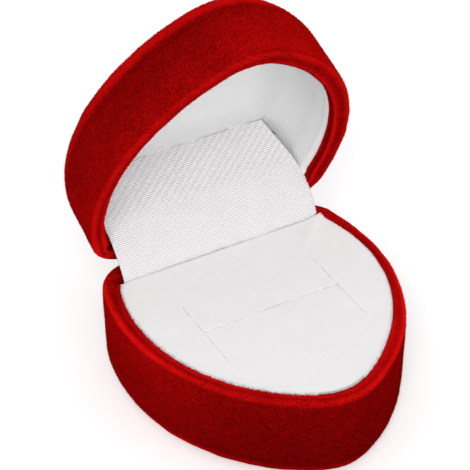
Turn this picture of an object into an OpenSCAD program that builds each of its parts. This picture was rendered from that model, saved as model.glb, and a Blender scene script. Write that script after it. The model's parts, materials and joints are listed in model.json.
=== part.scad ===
// Heart-shaped velvet jewellery box, standing open.
// X runs along the hinge, the tip of the heart points to -Y, Z is up.
// The origin is the middle of the flat underside of the base.

/* [Heart outline] */
// Distance between the centres of the two lobes
lobe_span = 37.4; // [35:0.2:39]
// Length of the heart from the tip to the backs of the lobes, at the rim
heart_l = 56.4; // [52:0.2:60]
// Radius of the rounded tip
tip_r = 13.8; // [12:0.2:15]
// Radius of each lobe
lobe_r = 8.2; // [8:0.1:9.4]
// Radius of the long sides between the tip and the lobes
side_r = 41.2; // [38:0.2:46]
// Depth of the cleft between the lobes at the rim
cleft_rim = 2.1; // [1.6:0.1:2.6]
// Depth of the cleft between the lobes at the flat end of base and lid
cleft_end = 5.5; // [4:0.1:6.5]
// Angle by which the side walls lean in towards the flat ends, degrees
draft = 0.8; // [0:0.1:1.5]

/* [Base and lid] */
// Height of the base
base_h = 19.9; // [17:0.1:24]
// Height of the lid
lid_h = 18; // [17:0.1:22]
// Radius of the rounded edge round the underside of the base
base_edge_r = 4.5; // [3:0.1:6]
// Radius of the rounded edge round the top of the lid
lid_edge_r = 6.3; // [4:0.1:7]
// Gap between the two velvet rims when the box is shut
closed_gap = 0.8; // [0.4:0.1:1.2]
// Angle at which the lid stands open, degrees
open_angle = 69; // [60:1:85]
// Thickness of the velvet covering
velvet_t = 0.7; // [0.5:0.05:0.8]
// Wall thickness of the moulded shells
shell_t = 1.5; // [1.2:0.1:1.8]
// Floor thickness of the moulded shells
floor_t = 1.2; // [0.9:0.1:1.3]
// Radius of the soft outer crest of the rims
crest_r = 1; // [0.8:0.05:1.2]
// How far the rims slope down towards the inside
rim_slope = 0.7; // [0.4:0.1:1]
// How far the velvet runs down inside the base
base_lip_d = 5; // [3:0.1:7]
// How far the velvet runs up inside the lid
lid_lip_d = 2.2; // [1.8:0.1:2.2]

/* [Hinge] */
// Length of the hinge barrel
hinge_w = 24; // [20:0.5:26]
// Height of the hinge axis above the rim of the base
hinge_rise = 1.05; // [0.95:0.05:1.1]
// Distance from the hinge axis forward to the flat web that carries the leaves
web_in = 3.8; // [3.7:0.05:3.9]
// Outer radius of the hinge barrel
knuckle_r = 1.2; // [1.1:0.05:1.25]
// Radius of the hinge pin
pin_r = 0.6; // [0.5:0.05:0.7]
// Running clearance between the pin and the knuckles of the lid
pin_fit = 0.05; // [0.03:0.01:0.08]
// Radius of the peened heads of the pin
pin_head_r = 0.95; // [0.85:0.05:1]
// Thickness of the peened heads of the pin
pin_head_t = 0.3; // [0.2:0.05:0.4]
// Gap between neighbouring knuckles
knuckle_gap = 0.15; // [0.1:0.05:0.3]
// Thickness of the hinge leaves
leaf_t = 0.4; // [0.3:0.05:0.4]
// Height of the upright part of the hinge leaves
leaf_drop = 5.2; // [4.6:0.1:6]
// Thickness of the flat snap spring
spring_t = 0.2; // [0.15:0.05:0.2]
// Height of the upright part of the snap spring
spring_drop = 4.4; // [3.8:0.1:4.6]
// Radius of the rivet shanks
rivet_r = 0.6; // [0.5:0.05:0.8]
// Radius of the rivet heads
rivet_head_r = 1.1; // [1:0.05:1.3]
// Thickness of the rivet heads
rivet_head_t = 0.2; // [0.15:0.05:0.2]
// Length of the rivet shanks inside the webs
rivet_grip = 1; // [0.6:0.1:1.2]
// Distance of the rivets below the flanges of the leaves
rivet_drop = 2.4; // [2:0.1:2.8]
// Distance between the two rivets of a leaf
rivet_span = 17; // [14:0.5:18]
// Free space between the hinge parts and the velvet and shells
hinge_clear = 0.1; // [0.05:0.05:0.15]
// Free space past each end of the hinge barrel
end_clear = 0.6; // [0.5:0.1:1]

/* [Hinge cover] */
// Distance from the backs of the lobes forward to the front of the hinge cover
cover_in = 5; // [5:0.05:5.3]
// Thickness of the satin hinge cover
cover_t = 0.3; // [0.2:0.05:0.3]
// Width of the hinge cover
cover_w = 44.2; // [40:0.2:44.2]
// How far the hinge cover reaches down behind the pad
cover_tuck = 3.5; // [2:0.1:4]
// How far the hinge cover bellies forward while the lid is open
cover_belly = 0.65; // [0.3:0.05:0.9]

/* [Pad in the base] */
// How far the edge of the pad lies below the rim
pad_recess = 0.65; // [0.5:0.05:1.2]
// Rise of the middle of the pad above its edge
pad_crown = 0.35; // [0.2:0.05:0.5]
// Radius of the rounded edge of the pad
pad_edge_r = 0.8; // [0.6:0.1:1.2]
// Thickness of the flocked cover of the pad
pad_cover_t = 0.5; // [0.4:0.05:0.6]
// How far the flocked cover runs down the sides of the pad
pad_skirt = 4; // [3:0.1:6]
// Thickness of the card under the flocked cover
pad_card_t = 0.6; // [0.4:0.1:0.8]
// Width of the die-cut slits
slit_w = 0.3; // [0.2:0.05:0.5]
// Distance of the front ends of the side slits behind the tip of the heart
slit_front_in = 19.6; // [18:0.2:24]
// Distance between the two side slits
slit_gap = 30; // [26:0.5:32]
// Distance of the middle slit in front of the backs of the lobes
slit_mid_in = 26.3; // [24:0.1:28]
// How far the side slits reach behind the middle slit
slit_back_l = 9.1; // [7:0.1:10]
// Width of the slot in the foam under the middle slit
slot_w = 3; // [2:0.1:4]
// Depth of the slot in the foam
slot_d = 9; // [6:0.1:12]
// Length of the slot in the foam
slot_l = 22; // [18:0.5:26]

/* [Lining of the lid] */
// How far the edge of the lining lies above the rim of the lid
lining_recess = 2.3; // [2.3:0.05:2.8]
// Distance of the edge of the lining from the outline of the lid
lining_in = 3.2; // [3.1:0.05:3.4]
// How far the lining leans in where the hollow starts to curve
lining_lean = 0.8; // [0.4:0.1:1.2]
// Depth at which the hollow starts to curve towards the ceiling
curve_start_d = 7.2; // [6:0.1:8]
// Depth of the ceiling below the rim of the lid
ceiling_d = 15.2; // [14:0.1:15.2]
// Size of the flat ceiling as a share of the hollow
ceiling_share = 0.77; // [0.72:0.01:0.82]
// Thickness of the satin lining
lining_t = 0.2; // [0.15:0.05:0.2]
// Thickness of the pressed card tray that carries the lining
tray_t = 0.4; // [0.3:0.05:0.4]
// Thickness of the soft ceiling panel
panel_t = 0.4; // [0.3:0.05:0.4]
// Thickness of the card behind the upper half of the hinge cover
back_card_t = 0.3; // [0.2:0.05:0.3]
// Depth of the lower edge of the back card
back_low_d = 2.9; // [2.6:0.1:3.2]
// Distance of the lower edge of the back card from the backs of the lobes
back_low_in = 5.75; // [5.75:0.05:6]
// Distance of the upper edge of the back card from the backs of the lobes
back_high_in = 10.3; // [9.4:0.1:11]
// Width of the back card at its lower edge
back_low_w = 43.6; // [40:0.2:44]
// Width of the back card at its upper edge
back_high_w = 35.6; // [32:0.2:36]

/* [Fits] */
// Free space between fixed pieces that lie next to each other
fit_gap = 0.1; // [0.05:0.05:0.15]

/* [Hidden] */
$fn = 40;

// Steps round one half of the outline and along rounded profiles
tip_steps = 6;
side_steps = 8;
lobe_steps = 10;
cleft_steps = 4;
edge_steps = 5;
crest_steps = 3;
hollow_steps = 6;
belly_steps = 6;
pad_edge_steps = 3;
pad_inner_steps = 2;

// Where the groove and the ridge of the velvet rim lie across it, and how far down its slope
groove_share = 0.45;
ridge_share = 0.75;
ridge_drop_share = 0.45;

// Where the side of the hollow in the lid bends, between its edge and the start of its curve
bend_share = 0.6;

// How much smaller than the flat ceiling its panel is, at its foot and at its face
panel_foot_share = 0.01;
panel_face_share = 0.03;

// Sizes of the rings of the pad's crown, from its edge to its middle
crown_shares = [1, 0.8, 0.55, 0.3];

// How far cuts run past what they cut
overrun = 1;

// Places that several pieces share
back_y = heart_l / 2;
hinge_y = back_y;
base_axis_z = base_h + hinge_rise;
lid_axis_z = lid_h + closed_gap - hinge_rise;
web_y = back_y - web_in;
rim_w = velvet_t + shell_t + velvet_t;
leaf_in = web_in + leaf_t;
floor_z = velvet_t + floor_t;
cover_y = back_y - cover_in;
corner_r = floor_t;

// The barrel of the hinge is cut into knuckles of equal length
knuckle_count = 5;
knuckle_pitch = hinge_w / knuckle_count;

// Centres and turning points of the tangent arcs of the outline
tip_c = [0, tip_r - heart_l / 2];
lobe_c = [lobe_span / 2, back_y - lobe_r];
chord = norm(lobe_c - tip_c);
chord_dir = (lobe_c - tip_c) / chord;
tip_leg = side_r - tip_r;
lobe_leg = side_r - lobe_r;
along = (tip_leg ^ 2 - lobe_leg ^ 2 + chord ^ 2) / (2 * chord);
side_c = tip_c + chord_dir * along + [-chord_dir.y, chord_dir.x] * sqrt(tip_leg ^ 2 - along ^ 2);
tip_turn = bearing(side_c, tip_c);
lobe_turn = bearing(side_c, lobe_c);

function bearing(from, to) = atan2(to.y - from.y, to.x - from.x);

function arc_point(c, r, a) = c + r * [cos(a), sin(a)];

function mix(a, b, share) = a + (b - a) * share;

// Points along an arc, without its first one
function arc(c, r, a0, a1, steps) = [for (k = [1:steps]) arc_point(c, r, mix(a0, a1, k / steps))];

// Right half of the heart drawn in by inset, from the tip to the bottom of a cleft of depth c
function half_outline(inset, c) =
    let (
        k = lobe_r - c,
        r = (lobe_c.x ^ 2 + k ^ 2 - lobe_r ^ 2) / (2 * c),
        cleft_c = [0, back_y + r - c],
        cleft_turn = bearing(lobe_c, cleft_c)
    )
    concat(
        [arc_point(tip_c, tip_r - inset, -90)],
        arc(tip_c, tip_r - inset, -90, tip_turn, tip_steps),
        arc(side_c, side_r - inset, tip_turn, lobe_turn, side_steps),
        arc(lobe_c, lobe_r - inset, lobe_turn, cleft_turn, lobe_steps),
        arc(cleft_c, -r - inset, cleft_turn, 90, cleft_steps)
    );

// Whole outline at height z; nothing of it lies behind the line y = back
function ring(inset, c, z, back) =
    let (half = half_outline(inset, c), last = len(half) - 1)
    concat(
        [for (p = half) [p.x, min(p.y, back), z]],
        [for (k = [last - 1:-1:1]) [-half[k].x, min(half[k].y, back), z]]
    );

// Ring drawn in towards the middle of the line y = to
function shrunk(points, share, to, z) = [for (p = points) [p.x * share, mix(to, p.y, share), z]];

function lean(z, h) = (h - z) * tan(draft);

function cleft_at(z, h) = mix(cleft_rim, cleft_end, (1 - z / h) ^ 2);

// Ring of a wall of height h, at a distance from its outer face
function wall_ring(inset, z, h, back = heart_l) = ring(inset + lean(z, h), cleft_at(z, h), z, back);

// Outer face of a wall from its flat end up to the start of the rim, moved in by off
function outer_rings(h, edge_r, off) = concat(
    [for (k = [0:edge_steps])
        let (a = 90 * k / edge_steps, r = edge_r - off)
        wall_ring(off + r * (1 - sin(a)), off + r * (1 - cos(a)), h)],
    [wall_ring(off, h / 2, h), wall_ring(off, h - crest_r, h)]
);

// Top of the rim of a moulded shell
function shell_rim_rings(h) = [
    wall_ring(crest_r, h - velvet_t, h),
    wall_ring(velvet_t + shell_t, h - velvet_t - rim_slope / 2, h, web_y)
];

// Soft rim of the velvet, with a shallow groove along its middle
function velvet_rim_rings(h) = concat(
    [for (k = [1:crest_steps])
        let (a = 90 * k / crest_steps)
        wall_ring(crest_r * (1 - cos(a)), h - crest_r * (1 - sin(a)), h)],
    [
        wall_ring(mix(crest_r, rim_w, groove_share), h - rim_slope * ridge_drop_share, h),
        wall_ring(mix(crest_r, rim_w, ridge_share), h - rim_slope * ridge_drop_share, h, web_y - velvet_t / 2),
        wall_ring(rim_w, h - rim_slope, h, web_y - velvet_t)
    ]
);

function reversed(list) = [for (k = [len(list) - 1:-1:0]) list[k]];

// Two triangles between neighbouring rings, split so that a wall and the skin on it share their faces
function quad(points, a, b, c, d) =
    points[a].z <= points[d].z ? [[a, c, b], [a, d, c]] : [[a, d, b], [d, c, b]];

// Closed solid through a list of rings with as many points each.
// Its ends are capped, or joined to each other where it loops
module loft(rings, loops = false) {
    n = len(rings[0]);
    m = len(rings);
    points = [for (r = rings) each r];
    sides = [for (k = [0:loops ? m - 1 : m - 2], j = [0:n - 1])
        let (i = (j + 1) % n, up = (k + 1) % m)
        each quad(points, k * n + j, k * n + i, up * n + i, up * n + j)];
    caps = [[for (j = [0:n - 1]) j], [for (j = [n - 1:-1:0]) (m - 1) * n + j]];
    polyhedron(points, loops ? sides : concat(sides, caps));
}

// Everything above the flange of a hinge leaf, over the length of the hinge
module back_relief(h, axis_z) {
    low_z = axis_z - knuckle_r - hinge_clear;
    translate([-hinge_w / 2 - end_clear, web_y - velvet_t - overrun, low_z])
        cube([hinge_w + 2 * end_clear, web_in + velvet_t + 2 * overrun, h - low_z + overrun]);
}

// Place of a hinge leaf in front of the web
module leaf_pocket(axis_z) {
    depth = leaf_drop + hinge_clear;
    translate([-hinge_w / 2 - end_clear, web_y - velvet_t - overrun, axis_z - knuckle_r - depth])
        cube([hinge_w + 2 * end_clear, velvet_t + overrun, depth + overrun]);
}

module rivet_places(axis_z) {
    for (side = [-1, 1])
        translate([side * rivet_span / 2, web_y, axis_z - knuckle_r - rivet_drop])
            rotate([-90, 0, 0]) children();
}

// Moulded plastic shell of the base or the lid, with a flat web inside its back
module case_shell(h, edge_r, axis_z) {
    wall = velvet_t + shell_t;
    difference() {
        loft(concat(
            outer_rings(h, edge_r, velvet_t),
            shell_rim_rings(h),
            [
                wall_ring(wall, h / 2, h, web_y),
                wall_ring(wall, floor_z + corner_r, h, web_y),
                wall_ring(wall + corner_r, floor_z, h, web_y - corner_r)
            ]
        ));
        back_relief(h, axis_z);
        leaf_pocket(axis_z);
        rivet_places(axis_z) translate([0, 0, -overrun]) cylinder(r = rivet_r, h = rivet_grip + overrun);
    }
}

// Velvet skin over a shell, turned over its rim and a little way down inside
module case_velvet(h, edge_r, lip_d, axis_z) {
    wall = velvet_t + shell_t;
    difference() {
        loft(concat(
            outer_rings(h, edge_r, 0),
            velvet_rim_rings(h),
            [
                wall_ring(rim_w, h - lip_d, h, web_y - velvet_t),
                wall_ring(wall, h - lip_d, h, web_y)
            ],
            reversed(shell_rim_rings(h)),
            reversed(outer_rings(h, edge_r, velvet_t))
        ));
        back_relief(h, axis_z);
        leaf_pocket(axis_z);
    }
}

// One curled knuckle with the tab that joins it to its leaf
module knuckle(at) {
    w = knuckle_pitch - knuckle_gap;
    translate([at - w / 2, 0, 0]) {
        rotate([0, 90, 0]) cylinder(r = knuckle_r, h = w);
        translate([0, -leaf_in, -knuckle_r]) cube([w, leaf_in, leaf_t]);
    }
}

// Pressed steel leaf: upright plate, flange over the rim and knuckles on the axis
module hinge_leaf(axis_z, places, bore_r) {
    flange_l = leaf_in - knuckle_r - knuckle_gap;
    difference() {
        translate([0, hinge_y, axis_z]) {
            translate([-hinge_w / 2, -leaf_in, -knuckle_r]) cube([hinge_w, flange_l, leaf_t]);
            translate([-hinge_w / 2, -leaf_in, -knuckle_r - leaf_drop]) cube([hinge_w, leaf_t, leaf_drop]);
            for (k = places) knuckle(k * knuckle_pitch);
        }
        translate([-hinge_w / 2 - overrun, hinge_y, axis_z])
            rotate([0, 90, 0]) cylinder(r = bore_r, h = hinge_w + 2 * overrun);
        rivet_places(axis_z)
            translate([0, 0, -leaf_t - overrun]) cylinder(r = rivet_r, h = leaf_t + 2 * overrun);
    }
}

// Pair of flat-headed rivets that hold a leaf and whatever lies on it
module leaf_rivets(axis_z, stack) {
    rivet_places(axis_z) {
        translate([0, 0, -stack]) cylinder(r = rivet_r, h = stack + rivet_grip);
        translate([0, 0, -stack - rivet_head_t]) cylinder(r = rivet_head_r, h = rivet_head_t);
    }
}

// Carries a piece drawn in the lid's own frame, flat end down, to its place on the open lid
module on_lid() {
    translate([0, hinge_y, base_axis_z]) rotate([-open_angle, 0, 0]) translate([0, -hinge_y, lid_axis_z])
        mirror([0, 0, 1]) children();
}

// Side and height of a point of the lid, given by its distance from the lobes' backs and its depth
function opened(in, d) =
    let (dy = -in, dz = d + lid_axis_z - lid_h)
    [hinge_y + dy * cos(open_angle) + dz * sin(open_angle),
        base_axis_z - dy * sin(open_angle) + dz * cos(open_angle)];

// Points of a thin strip of thickness t behind a line of points
function strip(line, t) =
    let (
        last = len(line) - 1,
        backs = [for (k = [0:last])
            let (way = line[min(k + 1, last)] - line[max(k - 1, 0)])
            line[k] + t * [way.y, -way.x] / norm(way)]
    )
    concat(line, reversed(backs));

module base_shell() {
    color("ivory") case_shell(base_h, base_edge_r, base_axis_z);
}

module base_velvet() {
    color("firebrick") case_velvet(base_h, base_edge_r, base_lip_d, base_axis_z);
}

// Pad ring at a distance from the edge of the pad, at height z
function pad_ring(off, z) = wall_ring(rim_w + fit_gap + off, z, base_h, cover_y - fit_gap - off);

pad_top_z = base_h - pad_recess;
card_top_z = pad_top_z - pad_cover_t;

// Die-cut slits in the shape of an H, down to a depth below the top of the pad
module pad_slits(depth) {
    mid_y = back_y - slit_mid_in;
    front_y = slit_front_in - heart_l / 2;
    low_z = pad_top_z - depth;
    tall = depth + pad_crown + overrun;
    for (side = [-1, 1])
        translate([side * slit_gap / 2 - slit_w / 2, front_y, low_z])
            cube([slit_w, mid_y + slit_back_l - front_y, tall]);
    translate([-slit_gap / 2, mid_y - slit_w / 2, low_z]) cube([slit_gap, slit_w, tall]);
}

module pad_foam() {
    mid_y = back_y - slit_mid_in;
    top_z = card_top_z - pad_card_t - fit_gap;
    low_z = floor_z + fit_gap;
    color("whitesmoke") difference() {
        loft([
            pad_ring(pad_cover_t + 2 * corner_r, low_z),
            pad_ring(pad_cover_t + fit_gap, low_z + 2 * corner_r),
            pad_ring(pad_cover_t + fit_gap, top_z)
        ]);
        translate([-slot_l / 2, mid_y - slot_w / 2, top_z - slot_d]) cube([slot_l, slot_w, slot_d + overrun]);
    }
}

module pad_card() {
    top_z = card_top_z - fit_gap / 2;
    color("gainsboro") difference() {
        loft([
            pad_ring(pad_edge_r + fit_gap, top_z - pad_card_t),
            pad_ring(pad_edge_r + fit_gap, top_z)
        ]);
        pad_slits(pad_cover_t + pad_card_t + overrun);
    }
}

// Crowned face of the pad, moved down by off, from its edge to its middle
function crown_rings(off) = [for (share = crown_shares)
    shrunk(pad_ring(pad_edge_r, pad_top_z), share, 0, pad_top_z - off + pad_crown * (1 - share ^ 2))];

// Ring on the rounded edge of the pad, at a distance r from the middle of its rounding
function pad_edge_ring(r, a) = pad_ring(pad_edge_r - r * cos(a), pad_top_z - pad_edge_r + r * sin(a));

// Flocked cover drawn over the pad, with its rounded edge and a skirt round the sides
module pad_cover() {
    color("white") difference() {
        loft(concat(
            reversed(crown_rings(pad_cover_t)),
            [for (k = [pad_inner_steps - 1:-1:0])
                pad_edge_ring(pad_edge_r - pad_cover_t, 90 * k / pad_inner_steps)],
            [
                pad_ring(pad_cover_t, pad_top_z - pad_skirt),
                pad_ring(0, pad_top_z - pad_skirt)
            ],
            [for (k = [0:pad_edge_steps - 1]) pad_edge_ring(pad_edge_r, 90 * k / pad_edge_steps)],
            crown_rings(0)
        ));
        pad_slits(pad_cover_t + overrun);
    }
}

module base_hinge_leaf() {
    color("silver") hinge_leaf(base_axis_z, [-2, 0, 2], pin_r);
}

module base_leaf_rivets() {
    color("goldenrod") leaf_rivets(base_axis_z, leaf_t + spring_t);
}

// Flat spring on the base leaf, whose two tongues bear on the knuckles of the lid
module snap_spring() {
    tongue_w = knuckle_pitch - 4 * knuckle_gap;
    tongue_l = leaf_in + spring_t - knuckle_r - 2 * knuckle_gap;
    color("slategray") difference() {
        translate([0, hinge_y - leaf_in - spring_t, base_axis_z - knuckle_r]) {
            translate([-hinge_w / 2, 0, leaf_t - spring_drop]) cube([hinge_w, spring_t, spring_drop]);
            for (side = [-1, 1])
                translate([side * knuckle_pitch - tongue_w / 2, 0, leaf_t - spring_t])
                    cube([tongue_w, tongue_l, 2 * spring_t]);
        }
        translate([-hinge_w / 2, hinge_y - leaf_in, base_axis_z - knuckle_r - leaf_t])
            cube([hinge_w, leaf_in, 2 * leaf_t]);
        rivet_places(base_axis_z)
            translate([0, 0, -leaf_t - spring_t - overrun]) cylinder(r = rivet_r, h = leaf_t + 2 * overrun);
    }
}

module hinge_pin() {
    long = hinge_w + 2 * fit_gap;
    color("darkgray") translate([-long / 2, hinge_y, base_axis_z]) rotate([0, 90, 0]) {
        cylinder(r = pin_r, h = long);
        translate([0, 0, -pin_head_t]) cylinder(r = pin_head_r, h = pin_head_t);
        translate([0, 0, long]) cylinder(r = pin_head_r, h = pin_head_t);
    }
}

// Satin strip from behind the pad up to the back card of the lid
module hinge_cover() {
    start = [cover_y, base_h];
    end = opened(back_low_in, back_low_d - 2 * fit_gap);
    way = end - start;
    side = [-way.y, way.x] / norm(way);
    line = concat(
        [[cover_y, start.y - cover_tuck]],
        [for (k = [0:belly_steps])
            let (share = k / belly_steps)
            mix(start, end, share) + side * cover_belly * sin(180 * share)]
    );
    color("white") translate([-cover_w / 2, 0, 0])
        rotate([90, 0, 90]) linear_extrude(cover_w) polygon(strip(line, cover_t));
}

module lid_shell() {
    color("ivory") on_lid() case_shell(lid_h, lid_edge_r, lid_axis_z);
}

module lid_velvet() {
    color("firebrick") on_lid() case_velvet(lid_h, lid_edge_r, lid_lip_d, lid_axis_z);
}

module lid_hinge_leaf() {
    color("silver") on_lid() hinge_leaf(lid_axis_z, [-1, 1], pin_r + pin_fit);
}

module lid_leaf_rivets() {
    color("goldenrod") on_lid() leaf_rivets(lid_axis_z, leaf_t);
}

// Flat back of the hollow in the lid at height z, in front of the leaf and of the cleft
function hollow_back(z) =
    min(
        web_y - leaf_t - rivet_head_t,
        back_y - cleft_at(z, lid_h) - velvet_t - shell_t - lean(z, lid_h) - max(0, floor_z + corner_r - z)
    ) - fit_gap - tray_t - lining_t;

function clipped(points, back) = [for (p = points) [p.x, min(p.y, back), p.z]];

// Wall of the hollow in the lid, moved out by off, from its edge to the edge of the ceiling
function hollow_rings(off) =
    let (
        start_z = lid_h - curve_start_d,
        bend_z = mix(lid_h - lining_recess, start_z, bend_share),
        back = hollow_back(start_z) + off,
        foot = ring(lining_in + lining_lean - off, cleft_rim, 0, back),
        deep = ceiling_d + panel_t - lining_t - curve_start_d + off
    )
    concat(
        [
            ring(lining_in - off, cleft_rim, lid_h - lining_recess, hollow_back(lid_h) + off),
            ring(lining_in + lining_lean / 2 - off, cleft_rim, bend_z, hollow_back(bend_z) + off)
        ],
        [for (k = [0:hollow_steps])
            let (a = 90 * k / hollow_steps, z = start_z - deep * sin(a))
            clipped(shrunk(foot, mix(1, ceiling_share, 1 - cos(a)), back, z), hollow_back(z) + off)]
    );

// Pressed card tray inside the lid
module lid_tray() {
    color("tan") on_lid() loft(concat(
        reversed(hollow_rings(lining_t + tray_t)),
        hollow_rings(lining_t)
    ));
}

// Ribbed satin over the side of the tray, open where the ceiling panel lies
module lid_lining() {
    color("white") on_lid() loft(concat(
        reversed(hollow_rings(lining_t)),
        hollow_rings(0)
    ), loops = true);
}

// Soft panel on the ceiling of the lid
module lid_ceiling_panel() {
    back = back_y - back_high_in - 2 * back_card_t;
    to = hollow_back(lid_h - curve_start_d);
    foot = ring(lining_in + lining_lean, cleft_rim, 0, to);
    function panel_ring(share, z) = clipped(shrunk(foot, share, to, z), back);
    low_z = lid_h - ceiling_d - panel_t;
    color("white") on_lid() loft([
        panel_ring(ceiling_share - panel_foot_share, low_z),
        panel_ring(ceiling_share - panel_foot_share, low_z + panel_t / 2),
        panel_ring(ceiling_share - panel_face_share, low_z + panel_t)
    ]);
}

// Card behind the upper half of the hinge cover, leaning from the rim to the ceiling
module lid_back_card() {
    low = [back_y - back_low_in, lid_h - back_low_d];
    high = [back_y - back_high_in, lid_h - ceiling_d + back_card_t];
    color("white") on_lid() translate([0, low.x, low.y]) rotate([bearing(low, high), 0, 0])
        linear_extrude(back_card_t) polygon([
            [-back_low_w / 2, 0],
            [back_low_w / 2, 0],
            [back_high_w / 2, norm(high - low)],
            [-back_high_w / 2, norm(high - low)]
        ]);
}

base_shell();
base_velvet();
pad_foam();
pad_card();
pad_cover();
base_hinge_leaf();
base_leaf_rivets();
snap_spring();
hinge_pin();
hinge_cover();
lid_shell();
lid_velvet();
lid_hinge_leaf();
lid_leaf_rivets();
lid_tray();
lid_lining();
lid_ceiling_panel();
lid_back_card();
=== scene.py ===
import json
import math
import bpy
import numpy as np
from mathutils import Matrix, Vector


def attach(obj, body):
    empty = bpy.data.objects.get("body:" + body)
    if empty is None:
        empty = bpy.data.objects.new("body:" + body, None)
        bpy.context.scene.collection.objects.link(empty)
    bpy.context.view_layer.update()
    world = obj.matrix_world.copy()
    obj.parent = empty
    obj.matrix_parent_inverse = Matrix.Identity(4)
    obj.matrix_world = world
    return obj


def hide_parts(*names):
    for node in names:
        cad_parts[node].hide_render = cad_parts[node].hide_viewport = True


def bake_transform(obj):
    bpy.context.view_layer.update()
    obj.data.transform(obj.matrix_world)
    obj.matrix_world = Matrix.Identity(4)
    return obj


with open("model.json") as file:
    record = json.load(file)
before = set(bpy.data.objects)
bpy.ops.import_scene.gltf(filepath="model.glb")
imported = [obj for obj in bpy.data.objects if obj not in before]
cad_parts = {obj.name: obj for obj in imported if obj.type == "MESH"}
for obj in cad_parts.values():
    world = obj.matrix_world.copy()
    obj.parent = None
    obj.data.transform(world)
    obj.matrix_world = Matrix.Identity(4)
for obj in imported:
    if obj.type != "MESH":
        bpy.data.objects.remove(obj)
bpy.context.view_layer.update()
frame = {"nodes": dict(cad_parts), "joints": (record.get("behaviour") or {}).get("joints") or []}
nodes = frame["nodes"]
print("frame loaded")

mm = 0.001
tiny = 1e-9
# A limit that lies beyond every point
beyond = 1.0

# Outline and walls of the two halves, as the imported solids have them
heart = {
    "lobeSpan": 37.4 * mm,
    "length": 56.4 * mm,
    "tipRadius": 13.8 * mm,
    "lobeRadius": 8.2 * mm,
    "sideRadius": 41.2 * mm,
    "rimCleft": 2.1 * mm,
    "endCleft": 5.5 * mm,
    "draft": math.radians(0.8),
    "velvet": 0.7 * mm,
    "wall": 2.2 * mm,
    "rim": 2.9 * mm,
    "webIn": 3.8 * mm,
    "notchHalf": 12.6 * mm,
}
hinge = {"angle": math.radians(69), "closedGap": 0.8 * mm}
hinge["y"], hinge["z"] = frame["joints"][0]["pos_m"][1:]
baseHeight = 19.9 * mm
lidHeight = 18 * mm
lidAxis = lidHeight + hinge["closedGap"] - (hinge["z"] - baseHeight)
backY = heart["length"] / 2
webY = backY - heart["webIn"]


# The value at a share of the way from a to b: a + (b - a) · share
def mix(a, b, share):
    return a + (b - a) * share


# Smooth step from 0 at start to 1 a reach further, downwards where reach is negative: 3t² - 2t³
def ease(value, start=0, reach=1):
    t = np.clip((value - start) / reach, 0, 1)
    return t * t * (3 - 2 * t)


# Each way over its length
def unit(ways):
    least = 1e-12
    return ways / np.maximum(np.linalg.norm(ways, axis=-1, keepdims=True), least)


# Turns of a quarter circle, evenly spaced
def quarter(count):
    return np.linspace(0, math.pi / 2, count)


# Points from rows of x and y and one height for each row
def atHeights(x, y, z):
    return np.stack([x, y, np.broadcast_to(z[:, None], x.shape)], -1)


# Length run along a line up to each of its points
def runOf(points):
    return np.concatenate([[0], np.cumsum(np.linalg.norm(np.diff(points, axis=0), axis=1))])


# Rows with their first column repeated at the end
def wrapped(rows):
    return np.concatenate([rows, rows[:, :1]], 1)


# Heart drawn in by inset: four tangent arcs, each centre + radius (cos a, sin a), run from the tip round
# the right side to the cleft, and the left half is their mirror. Gives x and y, rows by columns
def heartGrid(inset, cleft, steps):
    inset = np.asarray(inset, float)[:, None]
    cleft = np.asarray(cleft, float)[:, None]
    tip = np.array([0, heart["tipRadius"] - heart["length"] / 2])
    lobe = np.array([heart["lobeSpan"] / 2, backY - heart["lobeRadius"]])
    chord = np.linalg.norm(lobe - tip)
    tipLeg = heart["sideRadius"] - heart["tipRadius"]
    lobeLeg = heart["sideRadius"] - heart["lobeRadius"]
    along = (tipLeg ** 2 - lobeLeg ** 2 + chord ** 2) / (2 * chord)
    way = (lobe - tip) / chord
    side = tip + way * along + np.array([-way[1], way[0]]) * math.sqrt(tipLeg ** 2 - along ** 2)
    tipTurn = math.atan2(tip[1] - side[1], tip[0] - side[0])
    lobeTurn = math.atan2(lobe[1] - side[1], lobe[0] - side[0])
    lobeRise = heart["lobeRadius"] - cleft
    cleftRadius = (lobe[0] ** 2 + lobeRise ** 2 - heart["lobeRadius"] ** 2) / (2 * cleft)
    cleftY = backY + cleftRadius - cleft
    cleftTurn = np.arctan2(cleftY - lobe[1], -lobe[0])
    arcs = [
        (tip[0], tip[1], heart["tipRadius"] - inset, -math.pi / 2, tipTurn),
        (side[0], side[1], heart["sideRadius"] - inset, tipTurn, lobeTurn),
        (lobe[0], lobe[1], heart["lobeRadius"] - inset, lobeTurn, cleftTurn),
        (0, cleftY, -cleftRadius - inset, cleftTurn, math.pi / 2),
    ]
    x, y = [], []
    for k, (cx, cy, radius, start, end) in enumerate(arcs):
        share = np.linspace(0, 1, steps[k] + 1)[None, (k > 0):]
        turn = start + (end - start) * share
        x.append(cx + radius * np.cos(turn))
        y.append(cy + radius * np.sin(turn))
    x, y = np.concatenate(x, 1), np.concatenate(y, 1)
    return np.concatenate([x, -x[:, -2:0:-1]], 1), np.concatenate([y, y[:, -2:0:-1]], 1)


# Cleft of the heart at a height: from rimCleft at the rim to endCleft with the square of the share down
def cleftAt(z, tall):
    return mix(heart["rimCleft"], heart["endCleft"], (1 - z / tall) ** 2)


# Rings of a leaning wall: inset grows by tan(draft) times the depth under the rim. Nothing lies behind
# y = back
def wallGrid(inset, z, tall, steps, back=beyond):
    inset, z = np.broadcast_arrays(np.asarray(inset, float), np.asarray(z, float))
    x, y = heartGrid(inset + (tall - z) * math.tan(heart["draft"]), cleftAt(z, tall), steps)
    y = np.minimum(y, np.broadcast_to(np.asarray(back, float), z.shape)[:, None])
    return atHeights(x, y, z)


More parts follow.
